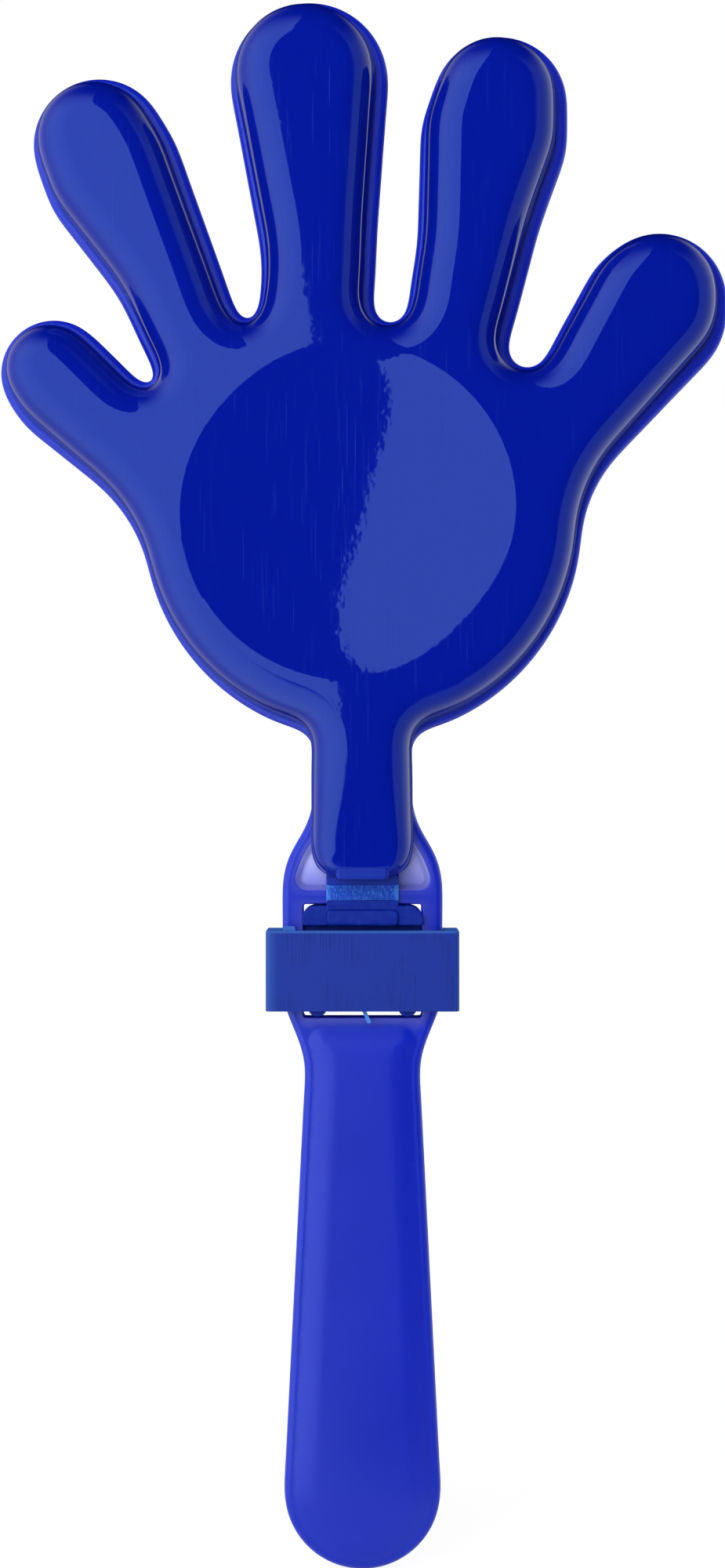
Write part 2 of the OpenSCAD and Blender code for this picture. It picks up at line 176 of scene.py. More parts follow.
class HingeSizes(bpy.types.PropertyGroup):
    """Sizes of the hinge feet, the bars on the necks and the collar."""
    foot_gap: size("Foot gap", "Clearance of a foot in the window", 0.2)
    shoulder_w: size("Shoulders", "Width of a foot's shoulders", 21.6)
    shoulder_h: size("Shoulder height", "Height of a foot's shoulders", 3.6)
    shoulder_t: size("Shoulder thickness", "Thickness of a foot's shoulders", 1)
    shoulder_round: size("Shoulder rounding", "Rounding of the shoulders' upper corners", 2.5)
    rib_h: size("Rib", "Height of the rib across a foot", 2.9)
    rib_out: size("Rib rise", "How far that rib stands out", 0.8)
    leg_w: size("Leg", "Width of a snap leg", 3.3)
    leg_pitch: size("Leg pitch", "Distance between the legs", 16)
    leg_l: size("Leg length", "Length of a snap leg", 5)
    bar_w: size("Bar", "Width of the bar on a neck's end", 9.3)
    bar_h: size("Bar height", "Height of that bar", 2.3)
    bar_out: size("Bar rise", "How far that bar stands out from the rim", 6.88)
    bar_drop: size("Bar drop", "How far that bar reaches below the neck's end", 0.25)
    rib_edge: size("Rib edge", "Rounding of that bar's and the ribs' edges", 0.6)
    rib_corner: size("Rib corner", "Rounding of that bar's and the ribs' corners", 0.9)
    tab_t: size("Tab", "Thickness of the tabs at both ends of a web", 1)
    edge_r: size("Edge rounding", "Rounding of small moulded edges", 0.35)
    collar_wall: size("Collar wall", "Thickness of the collar", 2.75)
    collar_corner: size("Collar corner", "Rounding of the collar's upright edges", 0.8)
    collar_edge: size("Collar edge", "Rounding of the collar's top and bottom", 0.18)


class Finishes(bpy.types.PropertyGroup):
    """Colours of the plastics."""
    hand: colour("Hands", "Polished outer hands", "#041690")
    handle: colour("Handle", "Satin handle and centre hand", "#0A20B4")
    # Painted light: a pale colour standing in for light shining through the thin floor from behind
    painted_backlight: colour("Thin floor", "Thin floor that lets light through", "#CED1FF")
    web: colour("Web", "Hinge web where it isn't whitened", "#0A34A8")
    whitening: colour("Whitening", "Stress-whitened plastic", "#4484D8")
    foot: colour("Feet", "Satin hinge feet", "#071F88")
    collar: colour("Collar", "Satin collar", "#0A268A")


# Centres of the rounds of a hand's outline, in millimetres right of and above the palm's centre
FINGER_ROUNDS = {
    "thumb_tip": (53, 39), "thumb_body": (52, 37), "index_tip": (24.5, 74), "index_body": (23.5, 68),
    "middle_tip": (-9.5, 78.1), "ring_tip": (-46.9, 66.7), "ring_body": (-44, 61.5),
    "little_tip": (-55, 26), "little_body": (-52.5, 24),
}
# Rounds with a radius of their own: crotches and long flanks are hollow, the ring finger's shoulder is not
THUMB_CROTCH, INDEX_CROTCH = (29.5, 30.5, -5), (5, 38, -4.5)
MIDDLE_CROTCH, RING_CROTCH = (-20.5, 37, -3), (-38.5, 25.5, -3)
INDEX_RIGHT, INDEX_LEFT = (74, 38.5, -46), (-28, 53, -39.5)
MIDDLE_RIGHT, MIDDLE_LEFT = (61, 48.5, -60), (-50.5, 44.5, -34)
RING_RIGHT, RING_SHOULDER, RING_LEFT = (10.5, 53, -38), (-48, 60.5, 14.5), (-73.5, 21.5, -36.5)
# Hollows under the thumb and the little finger: radius, and the direction in which each touches the palm
THUMB_HOLLOW = (27, math.radians(-5))
LITTLE_HOLLOW = (30, math.radians(193))


def around(angle):
    """Unit vectors at angles from the first axis towards the second."""
    return np.stack([np.cos(angle), np.sin(angle)], axis=1)


def unit(vectors):
    """The same directions at length 1."""
    return vectors / np.linalg.norm(vectors, axis=-1)[..., None]


def at_depth(points, depth):
    """The same points with one more coordinate, equal for all."""
    return np.column_stack([points, np.full(len(points), depth)])


def smooth(value, start, end):
    """Smooth step v^2 * (3 - 2v), from 0 at the start to 1 at the end."""
    v = np.clip((value - start) / (end - start), 0, 1)
    return v * v * (3 - 2 * v)


def belt(rounds, step=OUTLINE_STEP, ease=0):
    """Closed outline, as a belt lies round pulleys (x, z, radius), counter-clockwise seen from the front.

    A run from one round to the next leaves both along a common tangent, whose outward normal points at
    the run's own angle - 90 degrees + asin((r1 - r2) / distance). On each round the outline turns from one
    run's normal to the next. A negative radius is a hollow. Gives points and outward normals, with the
    changes of curve softened over a length of ease where one is given.
    """
    rounds = np.asarray(rounds, float)
    run = np.roll(rounds, -1, axis=0) - rounds
    tilt = np.arcsin(np.clip(-run[:, 2] / np.hypot(run[:, 0], run[:, 1]), -1, 1))
    leave = np.arctan2(run[:, 1], run[:, 0]) - math.pi / 2 + tilt
    arrive = np.roll(leave, 1)
    sweep = np.where(rounds[:, 2] > 0, (leave - arrive) % TAU, -((arrive - leave) % TAU))
    sweep[np.abs(sweep) > MOST_TURN] = 0
    count = np.maximum(2, np.ceil(np.abs(sweep) / step).astype(int) + 1)
    angle = np.concatenate([a + s * np.linspace(0, 1, n) for a, s, n in zip(arrive, sweep, count)])
    which = np.repeat(np.arange(len(rounds)), count)
    outward = around(angle)
    points = rounds[which, :2] + rounds[which, 2:] * outward
    apart = np.linalg.norm(points - np.roll(points, 1, axis=0), axis=1) > SAME_PLACE
    return eased(points[apart], ease) if ease else (points[apart], outward[apart])


def eased(points, ease, spacing=0.55 * MM):
    """A closed outline at even spacing, with short waves blurred out, and its outward normals.

    The outline is a complex signal. Its Fourier terms are weighted by g * (2 - g), where g is a Gaussian of width
    ease: that leaves broad rounds where they are. The normal is the derivative, turned a quarter to the right.
    """
    closed = np.concatenate([points, points[:1]])
    along = np.concatenate([[0], np.cumsum(np.linalg.norm(np.diff(closed, axis=0), axis=1))])
    length, count = along[-1], math.ceil(along[-1] / spacing)
    even = np.arange(count) * length / count
    waves = np.fft.fft(np.interp(even, along, closed[:, 0]) + 1j * np.interp(even, along, closed[:, 1]))
    order = np.fft.fftfreq(count, 1 / count)
    weight = np.exp(-0.5 * (TAU * order * ease / length) ** 2)
    waves *= weight * (2 - weight)
    line, normal = np.fft.ifft(waves), np.fft.ifft(waves * order)
    normal /= np.abs(normal)
    return np.stack([line.real, line.imag], axis=1), np.stack([normal.real, normal.imag], axis=1)


def hand_rounds(hand, palm_r, neck_w, margin, drop):
    """Rounds of a hand from the right of its neck to the left, with the fingers grown by a margin."""
    mid = hand.palm_z - drop
    fillet_x = neck_w / 2 + hand.neck_fillet
    fillet_z = mid - math.sqrt((palm_r + hand.neck_fillet) ** 2 - fillet_x ** 2)

    def tip(name):
        """A finger's round at its tip, or the larger one just behind it."""
        finger, part = name.split("_")
        swell = hand.swell if part == "body" else 0
        return (*FINGER_ROUNDS[name], (getattr(hand, finger + "_r") + swell) / MM)

    def hollow(radius_mm, at):
        """A hollow that touches the palm in a direction."""
        out = palm_r / MM + radius_mm - margin / MM
        return [out * math.cos(at), out * math.sin(at), -radius_mm]

    fingers = [
        tip("thumb_body"), tip("thumb_tip"), tip("thumb_body"), THUMB_CROTCH,
        INDEX_RIGHT, tip("index_body"), tip("index_tip"), tip("index_body"), INDEX_LEFT, INDEX_CROTCH,
        MIDDLE_RIGHT, tip("middle_tip"), MIDDLE_LEFT, MIDDLE_CROTCH,
        RING_RIGHT, RING_SHOULDER, tip("ring_tip"), tip("ring_body"), RING_LEFT, RING_CROTCH,
        tip("little_tip"), tip("little_body"),
    ]
    rounds = np.array([hollow(*THUMB_HOLLOW), *fingers, hollow(*LITTLE_HOLLOW)]) * MM
    rounds += [0, mid, margin]
    palm = [0, mid, palm_r]
    right, left = ([side * fillet_x, fillet_z, -hand.neck_fillet] for side in (1, -1))
    return np.array([right, palm, *rounds, palm, left])


def mirrored(rounds):
    """The same rounds on the other side, in the order of a closed outline."""
    return np.asarray(rounds)[::-1] * [-1, 1, 1]


def grown(rounds, by):
    """The same rounds with the outline moved out by a distance."""
    return np.asarray(rounds, float) + [0, 0, by]


def section(corners, side=1, step=SECTION_STEP):
    """Open line through corners (inset, depth, rounding), each rounded by an arc tangent to both its runs.

    The arc starts rounding * tan(turn / 2) before the corner. Gives points and unit normals, which lie
    90 degrees to the left of the way along the line, or to the right with side -1.
    """
    corners = np.asarray(corners, float)
    run = unit(np.diff(corners[:, :2], axis=0))
    heading = np.arctan2(run[:, 1], run[:, 0])
    points, angles = [corners[:1, :2]], [heading[:1]]
    for at, before, after, radius in zip(corners[1:-1, :2], heading, heading[1:], corners[1:-1, 2]):
        turn = (after - before + math.pi) % TAU - math.pi
        bend = math.copysign(radius, turn)
        start = at - radius * math.tan(abs(turn) / 2) * np.array([math.cos(before), math.sin(before)])
        centre = start + bend * np.array([-math.sin(before), math.cos(before)])
        angle = before + turn * np.linspace(0, 1, max(2, math.ceil(abs(turn) / step) + 1))
        points.append(centre - bend * np.stack([-np.sin(angle), np.cos(angle)], axis=1))
        angles.append(angle)
    angle = np.concatenate(angles + [heading[-1:]])
    normals = side * np.stack([-np.sin(angle), np.cos(angle)], axis=1)
    return np.concatenate(points + [corners[-1:, :2]]), normals


def wall_section(start, end, edge, side=1):
    """Section of a wall from one face to another with both edges rounded. The faces lie inside the outline, or
    outside it where edge is negative, as round a hole."""
    arc = NEARLY * abs(edge)
    return section([(edge, start, 0), (0, start, arc), (0, end, arc), (edge, end, 0)], side)


def rectangle(low, high, rounding, step, top_rounding=None):
    """Outline of a rectangle between two corners. Its own corners are rounded, the upper two differently if asked."""
    (x0, z0), (x1, z1) = low, high
    top = rounding if top_rounding is None else top_rounding
    return belt([(x1 - rounding, z0 + rounding, rounding), (x1 - top, z1 - top, top),
                 (x0 + top, z1 - top, top), (x0 + rounding, z0 + rounding, rounding)], step)


def ribbon(edge, profile, stretch=1, closed=True):
    """A section carried along an outline: each of its points is a copy of the outline, moved in.

    The way in may be stretched differently along the outline. Gives points (u, v, depth), normals and triangles,
    and the first and last copies as rings.
    """
    (line, outward), (steps, lean) = edge, profile
    rows, columns = len(steps), len(line)
    stretch = np.broadcast_to(stretch, columns)[:, None]
    points = np.empty((rows, columns, 3))
    points[..., :2] = line - steps[:, None, :1] * outward * stretch
    points[..., 2] = steps[:, None, 1]
    normals = np.empty_like(points)
    normals[..., :2] = -lean[:, None, :1] * outward
    normals[..., 2] = lean[:, None, 1] * stretch[:, 0]
    normals = unit(normals)
    number = np.arange(rows * columns).reshape(rows, columns)
    a, b = number[:-1], np.roll(number, -1, axis=1)[:-1]
    if not closed:
        a, b = a[:, :-1], b[:, :-1]
    c, d = b + columns, a + columns
    triangles = np.concatenate([np.stack([a, b, c], -1).reshape(-1, 3), np.stack([a, c, d], -1).reshape(-1, 3)])
    return (points.reshape(-1, 3), normals.reshape(-1, 3), triangles), points[0], points[-1]


def inside(points, ring, batch=4000):
    """Even-odd rule: a point lies inside where a ray to its right crosses the ring an odd number of times.

    The points are taken in batches, which saves memory.
    """
    a, b = ring, np.roll(ring, -1, axis=0)
    rise = b[:, 1] - a[:, 1]

    def odd(x, z):
        crosses = (a[:, 1] > z) != (b[:, 1] > z)
        at = a[:, 0] + (z - a[:, 1]) * (b[:, 0] - a[:, 0]) / np.where(rise == 0, 1, rise)
        return (crosses & (x < at)).sum(axis=1) % 2 == 1

    return np.concatenate([odd(p[:, :1], p[:, 1:]) for p in np.array_split(points, len(points) // batch + 1)])


def sheet(rings, facing, extra=None):
    """Flat face between an outer ring and the rings of its holes, as a Delaunay mesh with extra points inside."""
    points = np.concatenate(rings if extra is None else [*rings, extra])
    starts = np.cumsum([0] + [len(r) for r in rings])
    edges = np.concatenate([np.stack([np.arange(len(r)), (np.arange(len(r)) + 1) % len(r)], 1) + s
                            for r, s in zip(rings, starts)])
    output_type, epsilon = 0, 1e-7
    found = delaunay_2d_cdt((points[:, :2] / MM).tolist(), edges.tolist(), [], output_type, epsilon, False)
    if len(found[0]) != len(points):
        raise RuntimeError("an outline crosses itself")
    triangles = np.array(found[2])
    middle = points[triangles, :2].mean(axis=1)
    keep = inside(middle, rings[0][:, :2])
    for hole in rings[1:]:
        keep &= ~inside(middle, hole[:, :2])
    normals = np.zeros_like(points)
    normals[:, 2] = facing
    return points, normals, triangles[keep]


def front(parts):
    """Parts drawn seen from the front: (u, v, depth) becomes (x, y, z) = (u, depth, v)."""
    return [(p[:, [0, 2, 1]], n[:, [0, 2, 1]], t) for p, n, t in parts]


def mirror_y(parts):
    """The same parts on the rear side."""
    flip = np.array([1, -1, 1])
    return [(p * flip, n * flip, t) for p, n, t in parts]


def leaning(parts, angle, pivot_z):
    """Parts turned about the y axis through a pivot, towards the little finger."""
    c, s = math.cos(angle), math.sin(angle)
    turn = np.array([[c, 0, s], [0, 1, 0], [-s, 0, c]])
    pivot = np.array([0, 0, pivot_z])
    return [((p - pivot) @ turn + pivot, n @ turn, t) for p, n, t in parts]


def block(low, high, rounding, edge_r, top_rounding=None):
    """Block with rounded corners seen from the front, and rounded front and back edges."""
    (x0, y0, z0), (x1, y1, z1) = low, high
    line = rectangle((x0, z0), (x1, z1), rounding, math.radians(10), top_rounding)
    sides, near, far = ribbon(line, wall_section(y0, y1, edge_r))
    return front([sides, sheet([near], -1), sheet([far], 1)])


def weld(parts):
    """One skin from parts whose shared rings match: equal points become one, and its normal is their mean.

    Each triangle is turned so that it faces the way its corners' normals do.
    """
    counts = np.cumsum([0] + [len(p) for p, _, _ in parts])
    points = np.concatenate([p for p, _, _ in parts])
    normals = np.concatenate([n for _, n, _ in parts])
    triangles = np.concatenate([t + c for (_, _, t), c in zip(parts, counts)])
    points, which = np.unique(points.round(10), axis=0, return_inverse=True)
    which = which.reshape(-1)
    summed = np.zeros_like(points)
    np.add.at(summed, which, normals)
    summed /= np.maximum(np.linalg.norm(summed, axis=1), 1e-12)[:, None]
    triangles = which[triangles]
    a, b, c = triangles.T
    triangles = triangles[(a != b) & (b != c) & (c != a)]
    corner = points[triangles]
    facing = np.cross(corner[:, 1] - corner[:, 0], corner[:, 2] - corner[:, 0])
    back = (facing * summed[triangles].sum(axis=1)).sum(axis=1) < 0
    triangles[back] = triangles[back][:, ::-1]
    return points, summed, triangles


def piece(name, parts, material):
    """A mesh object at the origin from welded parts, shaded with their own normals."""
    points, normals, triangles = weld(parts)
    mesh = bpy.data.meshes.new(name)
    mesh.vertices.add(len(points))
    mesh.vertices.foreach_set("co", points.astype(np.float32).ravel())
    mesh.loops.add(triangles.size)
    mesh.loops.foreach_set("vertex_index", triangles.astype(np.int32).ravel())
    mesh.polygons.add(len(triangles))
    mesh.polygons.foreach_set("loop_start", np.arange(0, triangles.size, 3, dtype=np.int32))
    mesh.polygons.foreach_set("use_smooth", np.ones(len(triangles), bool))
    mesh.update()
    mesh.normals_split_custom_set_from_vertices(normals.tolist())
    mesh.materials.append(material)
    obj = bpy.data.objects.new(name, mesh)
    bpy.context.scene.collection.objects.link(obj)
    return obj


def add(tree, kind, inputs=None, output=0, **settings):
    """Adds a shader node and gives one of its outputs: settings are its own properties, and each input is a
    value or another node's output."""
    node = tree.nodes.new("ShaderNode" + kind)
    for key, value in settings.items():
        setattr(node, key, value)
    for key, value in (inputs or {}).items():
        if isinstance(value, bpy.types.NodeSocket):
            tree.links.new(value, node.inputs[key])
        else:
            node.inputs[key].default_value = value
    return node.outputs[output] if node.outputs else node


# Sockets of a Mix node for colours, and its settings
SHARE, FIRST, SECOND = 0, 6, 7
COLOURS = {"output": 2, "data_type": "RGBA"}
POLYPROPYLENE_IOR, POLISHED_IOR = 1.49, 1.55
# Gloss on dark blue plastic is blue itself
BLUE_GLOSS = (0.6, 0.8, 1.0, 1.0)


def per_mm(millimetres):
    """Noise scale whose features are about this long, on Object coordinates in metres."""
    return 1 / (millimetres * MM)


def empty_tree(owner):
    """The node tree of a material or world, with nothing in it."""
    owner.use_nodes = True
    owner.node_tree.nodes.clear()
    return owner.node_tree


def surfaced(name, shader):
    """The material of a name, made with the shader that shader(tree) gives where it isn't there yet."""
    material = bpy.data.materials.get(name)
    if material is None:
        material = bpy.data.materials.new(name)
        tree = empty_tree(material)
        add(tree, "OutputMaterial", {"Surface": shader(tree)})
    return material


def plastic(name, recipe, finishes):
    """A material with one Principled shader, whose inputs come from recipe(tree, object coordinates, finishes)."""
    return surfaced(name, lambda tree: add(tree, "BsdfPrincipled", {
        "IOR": POLYPROPYLENE_IOR, **recipe(tree, add(tree, "TexCoord", output="Object"), finishes)}))


def streaks(tree, place, angle, width, length, low, high):
    """Fine straight lines, as a share from 0 to 1: noise stretched along a direction in the plane of the face, so
    that a line is about width by length in millimetres, and cut off below."""
    turned = add(tree, "Mapping", {"Vector": place, "Rotation": (0, angle, 0),
                                   "Scale": (per_mm(width), per_mm(length), per_mm(length))})
    lines = add(tree, "TexNoise", {"Vector": turned, "Scale": 1.0, "Detail": 0.0})
    return add(tree, "MapRange", {"Value": lines, "From Min": low, "From Max": high})


def rgba(linear_colour, shade=1.0):
    """A linear colour for a socket, lighter or darker by a factor."""
    return (*[min(1.0, c * shade) for c in linear_colour], 1.0)


def polished_mould(tree, place, finishes):
    """Polypropylene from a polished tool: dark and glossy, with a faint orange peel that frays the edges of
    reflections, a fine mottle, and hair scratches from handling. The bar on the neck's end is stippled."""
    coarse = add(tree, "TexNoise", {"Vector": place, "Scale": per_mm(5), "Detail": 1.0})
    fine = add(tree, "TexNoise", {"Vector": place, "Scale": per_mm(1.4), "Detail": 1.0})
    peel = add(tree, "Math", {0: fine, 1: 0.8, 2: coarse}, operation="MULTIPLY_ADD")
    one_way = streaks(tree, place, 0.9, 0.1, 16, 0.77, 0.83)
    other_way = streaks(tree, place, -0.5, 0.1, 12, 0.78, 0.84)
    scratch = add(tree, "Math", {0: one_way, 1: other_way}, operation="MAXIMUM")
    mottle = add(tree, "TexNoise", {"Vector": place, "Scale": per_mm(0.6), "Detail": 3.0})
    base = add(tree, "Mix", {SHARE: mottle, FIRST: rgba(finishes.hand, 0.92), SECOND: rgba(finishes.hand, 1.08)},
               **COLOURS)
    worn = add(tree, "Math", {0: scratch, 1: 0.06}, operation="MULTIPLY")
    stipple = add(tree, "Attribute", output="Fac", attribute_name="stipple")
    pits = add(tree, "Math", {0: stipple, 1: mottle}, operation="MULTIPLY")
    relief = add(tree, "Math", {0: pits, 1: 6.0, 2: peel}, operation="MULTIPLY_ADD")
    gloss = add(tree, "MapRange", {"Value": scratch, "To Min": 0.02, "To Max": 0.2})
    return {
        "IOR": POLISHED_IOR,
        "Base Color": add(tree, "Mix", {SHARE: worn, FIRST: base, SECOND: rgba(finishes.whitening)}, **COLOURS),
        "Roughness": add(tree, "Math", {0: stipple, 1: 0.45, 2: gloss}, operation="MULTIPLY_ADD"),
        "Normal": add(tree, "Bump", {"Height": relief, "Distance": 0.003 * MM, "Strength": 1.0}),
        "Specular Tint": (0.32, 0.58, 1.0, 1.0),
    }


def satin_mould(tree, place, finishes):
    """Polypropylene from a satin tool: broad soft highlights and an even grain, drawn coarser than the real one so that
    it shows. Painted light: by the thin attribute, its thin floor, its pockets' walls and some edges are mixed towards
    a pale colour, standing in for light shining through from behind."""
    grain = add(tree, "TexNoise", {"Vector": place, "Scale": per_mm(0.35), "Detail": 3.0})
    cloud = add(tree, "TexNoise", {"Vector": place, "Scale": per_mm(20), "Detail": 2.0})
    # painted light: share of the pale painted backlight colour
    thin = add(tree, "Attribute", output="Fac", attribute_name="thin")
    base = add(tree, "Mix", {SHARE: cloud, FIRST: rgba(finishes.handle, 0.93), SECOND: rgba(finishes.handle, 1.07)},
               **COLOURS)
    return {
        "Base Color": add(tree, "Mix", {SHARE: thin, FIRST: base, SECOND: rgba(finishes.painted_backlight)}, **COLOURS),
        "Roughness": add(tree, "MapRange", {"Value": cloud, "To Min": 0.28, "To Max": 0.38}),
        "Subsurface Weight": 0.7,
        "Subsurface Radius": (0.4, 0.5, 1.0),
        "Subsurface Scale": 3 * MM,
        "Normal": add(tree, "Bump", {"Height": grain, "Distance": 0.004 * MM, "Strength": 1.0}),
        "Specular Tint": BLUE_GLOSS,
    }


def stress_whitened(tree, place, finishes):
    """Polypropylene web bent many times: whitened in fine upright crazes and specks where it flexes, and along its
    two free edges."""
    crazes = streaks(tree, place, 0, 0.25, 1.2, 0.35, 0.75)
    noise = add(tree, "TexNoise", {"Vector": place, "Scale": per_mm(0.5), "Detail": 4.0})
    specks = add(tree, "MapRange", {"Value": noise, "From Min": 0.4, "From Max": 0.65})
    white = add(tree, "Math", {0: crazes, 1: specks}, operation="MULTIPLY")
    half_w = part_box("front_living_hinge")[1].x
    side = add(tree, "Math", {0: add(tree, "SeparateXYZ", {0: place}, output="X")}, operation="ABSOLUTE")
    edge = add(tree, "MapRange", {"Value": side, "From Min": half_w - 0.9 * MM, "From Max": half_w, "To Max": 0.7})
    share = add(tree, "Math", {0: white, 1: 0.7, 2: edge}, operation="MULTIPLY_ADD", use_clamp=True)
    colours = {SHARE: share, FIRST: rgba(finishes.web), SECOND: rgba(finishes.whitening)}
    return {
        "Base Color": add(tree, "Mix", colours, **COLOURS),
        "Roughness": add(tree, "MapRange", {"Value": specks, "To Min": 0.35, "To Max": 0.5}),
        "Normal": add(tree, "Bump", {"Height": specks, "Distance": 0.02 * MM, "Strength": 1.0}),
        "Specular IOR Level": 0.3,
        "Specular Tint": (0.4, 0.8, 1.0, 1.0),
    }


def scuffed(tree, place, finishes):
    """Polypropylene in the shade of the polished hands, with scuffs from being snapped in."""
    noise = add(tree, "TexNoise", {"Vector": place, "Scale": per_mm(1.2), "Detail": 4.0})
    scuff = add(tree, "MapRange", {"Value": noise, "From Min": 0.45, "From Max": 0.7})
    worn = add(tree, "Math", {0: scuff, 1: 0.05}, operation="MULTIPLY")
    colours = {SHARE: worn, FIRST: rgba(finishes.foot), SECOND: rgba(finishes.whitening)}
    return {
        "Base Color": add(tree, "Mix", colours, **COLOURS),
        "Roughness": add(tree, "MapRange", {"Value": scuff, "To Min": 0.4, "To Max": 0.55}),
        "Normal": add(tree, "Bump", {"Height": scuff, "Distance": 0.004 * MM, "Strength": 1.0}),
        "Specular IOR Level": 0.15,
        "Specular Tint": BLUE_GLOSS,
    }


def drag_lined(tree, place, finishes):
    """Polypropylene sleeve dragged out of its mould: satin, with fine upright drag lines in patches. Painted light:
    paler bands along its left, right and top edges and on its flash stand in for light shining through the thin plastic
    and catching its edges."""
    low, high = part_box("collar")
    lines = streaks(tree, place, 0, 0.3, 9, 0.4, 0.7)
    noise = add(tree, "TexNoise", {"Vector": place, "Scale": per_mm(7), "Detail": 2.0})
    patch = add(tree, "MapRange", {"Value": noise, "From Min": 0.4, "From Max": 0.6})
    drag = add(tree, "Math", {0: lines, 1: patch}, operation="MULTIPLY")
    base = add(tree, "Mix", {SHARE: drag, FIRST: rgba(finishes.collar), SECOND: rgba(finishes.collar, 0.72)}, **COLOURS)
    at = add(tree, "SeparateXYZ", {0: place}).node.outputs
    # painted light: paler bands at the left, right and top edges and on the flash
    pale = 0.0
    for axis, start, end, most in (("X", low.x + 2.2 * MM, low.x + 0.3 * MM, 0.18), ("X", high.x - MM, high.x, 0.15),
                                   ("Z", high.z - 0.5 * MM, high.z, 0.5), ("Z", low.z, low.z - 0.1 * MM, 0.9)):
        band = add(tree, "MapRange", {"Value": at[axis], "From Min": start, "From Max": end, "To Max": most})
        pale = add(tree, "Math", {0: band, 1: pale}, operation="MAXIMUM")
    return {
        "Base Color": add(tree, "Mix", {SHARE: pale, FIRST: base, SECOND: rgba(finishes.whitening)}, **COLOURS),
        "Roughness": add(tree, "MapRange", {"Value": drag, "To Min": 0.42, "To Max": 0.55}),
        "Normal": add(tree, "Bump", {"Height": drag, "Distance": 0.01 * MM, "Strength": 1.0}),
        "Specular IOR Level": 0.35,
        "Specular Tint": BLUE_GLOSS,
    }


def dish(points, hand):
    """Depth of the palm's dish and its slopes in x and z: a slightly twisted paraboloid, eased into the face.

    With p and q from the dish's centre, in radii, t = depth * (1 - r^2) + p * (tilt + twist * q) * (1 - r^8). The dish
    is (t + sqrt(t^2 + ease^2)) / 2, and nought well outside.
    """
    ease, reach = 0.03 * MM, 2 * MM
    p, q = ((points[:, :2] - [hand.dish_x, hand.palm_z]) / hand.dish_r).T
    rr = p ** 2 + q ** 2
    warp = hand.dish_tilt + hand.dish_twist * q
    t = hand.dish_depth * (1 - rr) + p * warp * (1 - rr ** 4)
    root = np.sqrt(t ** 2 + ease ** 2)
    near = rr < (1 + reach / hand.dish_r) ** 2
    common = hand.dish_depth + 4 * p * warp * rr ** 3
    along = [warp * (1 - rr ** 4) - 2 * p * common, hand.dish_twist * p * (1 - rr ** 4) - 2 * q * common]
    slope = np.stack(along, axis=1) / hand.dish_r * np.where(near, (1 + t / root) / 2, 0)[:, None]
    return np.where(near, (t + root) / 2, 0), slope


def staggered(ring, spacing):
    """Points in staggered rows inside a ring, each one spacing from the next."""
    low, high = ring[:, :2].min(axis=0), ring[:, :2].max(axis=0)
    row = spacing * 0.866
    x, z = np.meshgrid(np.arange(low[0], high[0], spacing), np.arange(low[1], high[1], row))
    x = x + spacing / 2 * (np.arange(len(z)) % 2)[:, None]
    grid = np.stack([x.ravel(), z.ravel()], axis=1)
    return grid[inside(grid, ring[:, :2])]


def face_points(ring, hand, spacing=1.5 * MM, clear=0.8 * MM):
    """Points to fill a hand's face: staggered rows, with circles close together along the dish's edge."""
    centre, band = [hand.dish_x, hand.palm_z], 1.8 * MM
    grid = staggered(ring, spacing)
    grid = grid[np.abs(np.hypot(*(grid - centre).T) - hand.dish_r) > band]
    offsets = np.array([-1.3, -0.7, -0.35, -0.12, 0.12, 0.35, 0.7, 1.3]) * MM
    circle = around(np.linspace(0, TAU, 240, endpoint=False))
    circles = (hand.dish_r + offsets)[:, None, None] * circle + centre
    points = np.concatenate([grid, circles.reshape(-1, 2)])
    points = points[inside(points, ring[:, :2])]
    gaps = np.abs(points[:, None, 0] - ring[None, :, 0]) + np.abs(points[:, None, 1] - ring[None, :, 1])
    return points[gaps.min(axis=1) > clear]


def dished_face(ring, hand, facing):
    """A hand's flat face with the dish: the flat sheet moved to the rear, with normals from the slopes."""
    points, normals, triangles = sheet([ring], facing, at_depth(face_points(ring, hand), ring[0, 2]))
    depth, slope = dish(points, hand)
    depth[:len(ring)] = 0
    points[:, 2] += depth
    normals[:, :2] = -facing * slope
    return points, unit(normals), triangles


def sunk(part, hand, rim, face):
    """A hand's part with its neck's end sunk: its depth from the rim times k = 1 - (1 - s) * sink / depth of the hand.

    s is the smooth step v^2 * (3 - 2v) of the height v above the neck's end. The normal n becomes
    (n_x, n_z + n_depth * k' * depth / k, n_depth / k).
    """
    points, normals, triangles = part
    start, length = hand.neck_end + 1.9 * MM, 20 * MM
    v = np.clip((points[:, 1] - start) / length, 0, 1)
    share = hand.neck_sink / (rim - face)
    k = 1 - share * (1 - v * v * (3 - 2 * v))
    deep = rim - points[:, 2]
    points[:, 2] = rim - k * deep
    normals[:, 2] /= k
    normals[:, 1] += normals[:, 2] * deep * share * 6 * v * (1 - v) / length
    return points, unit(normals), triangles


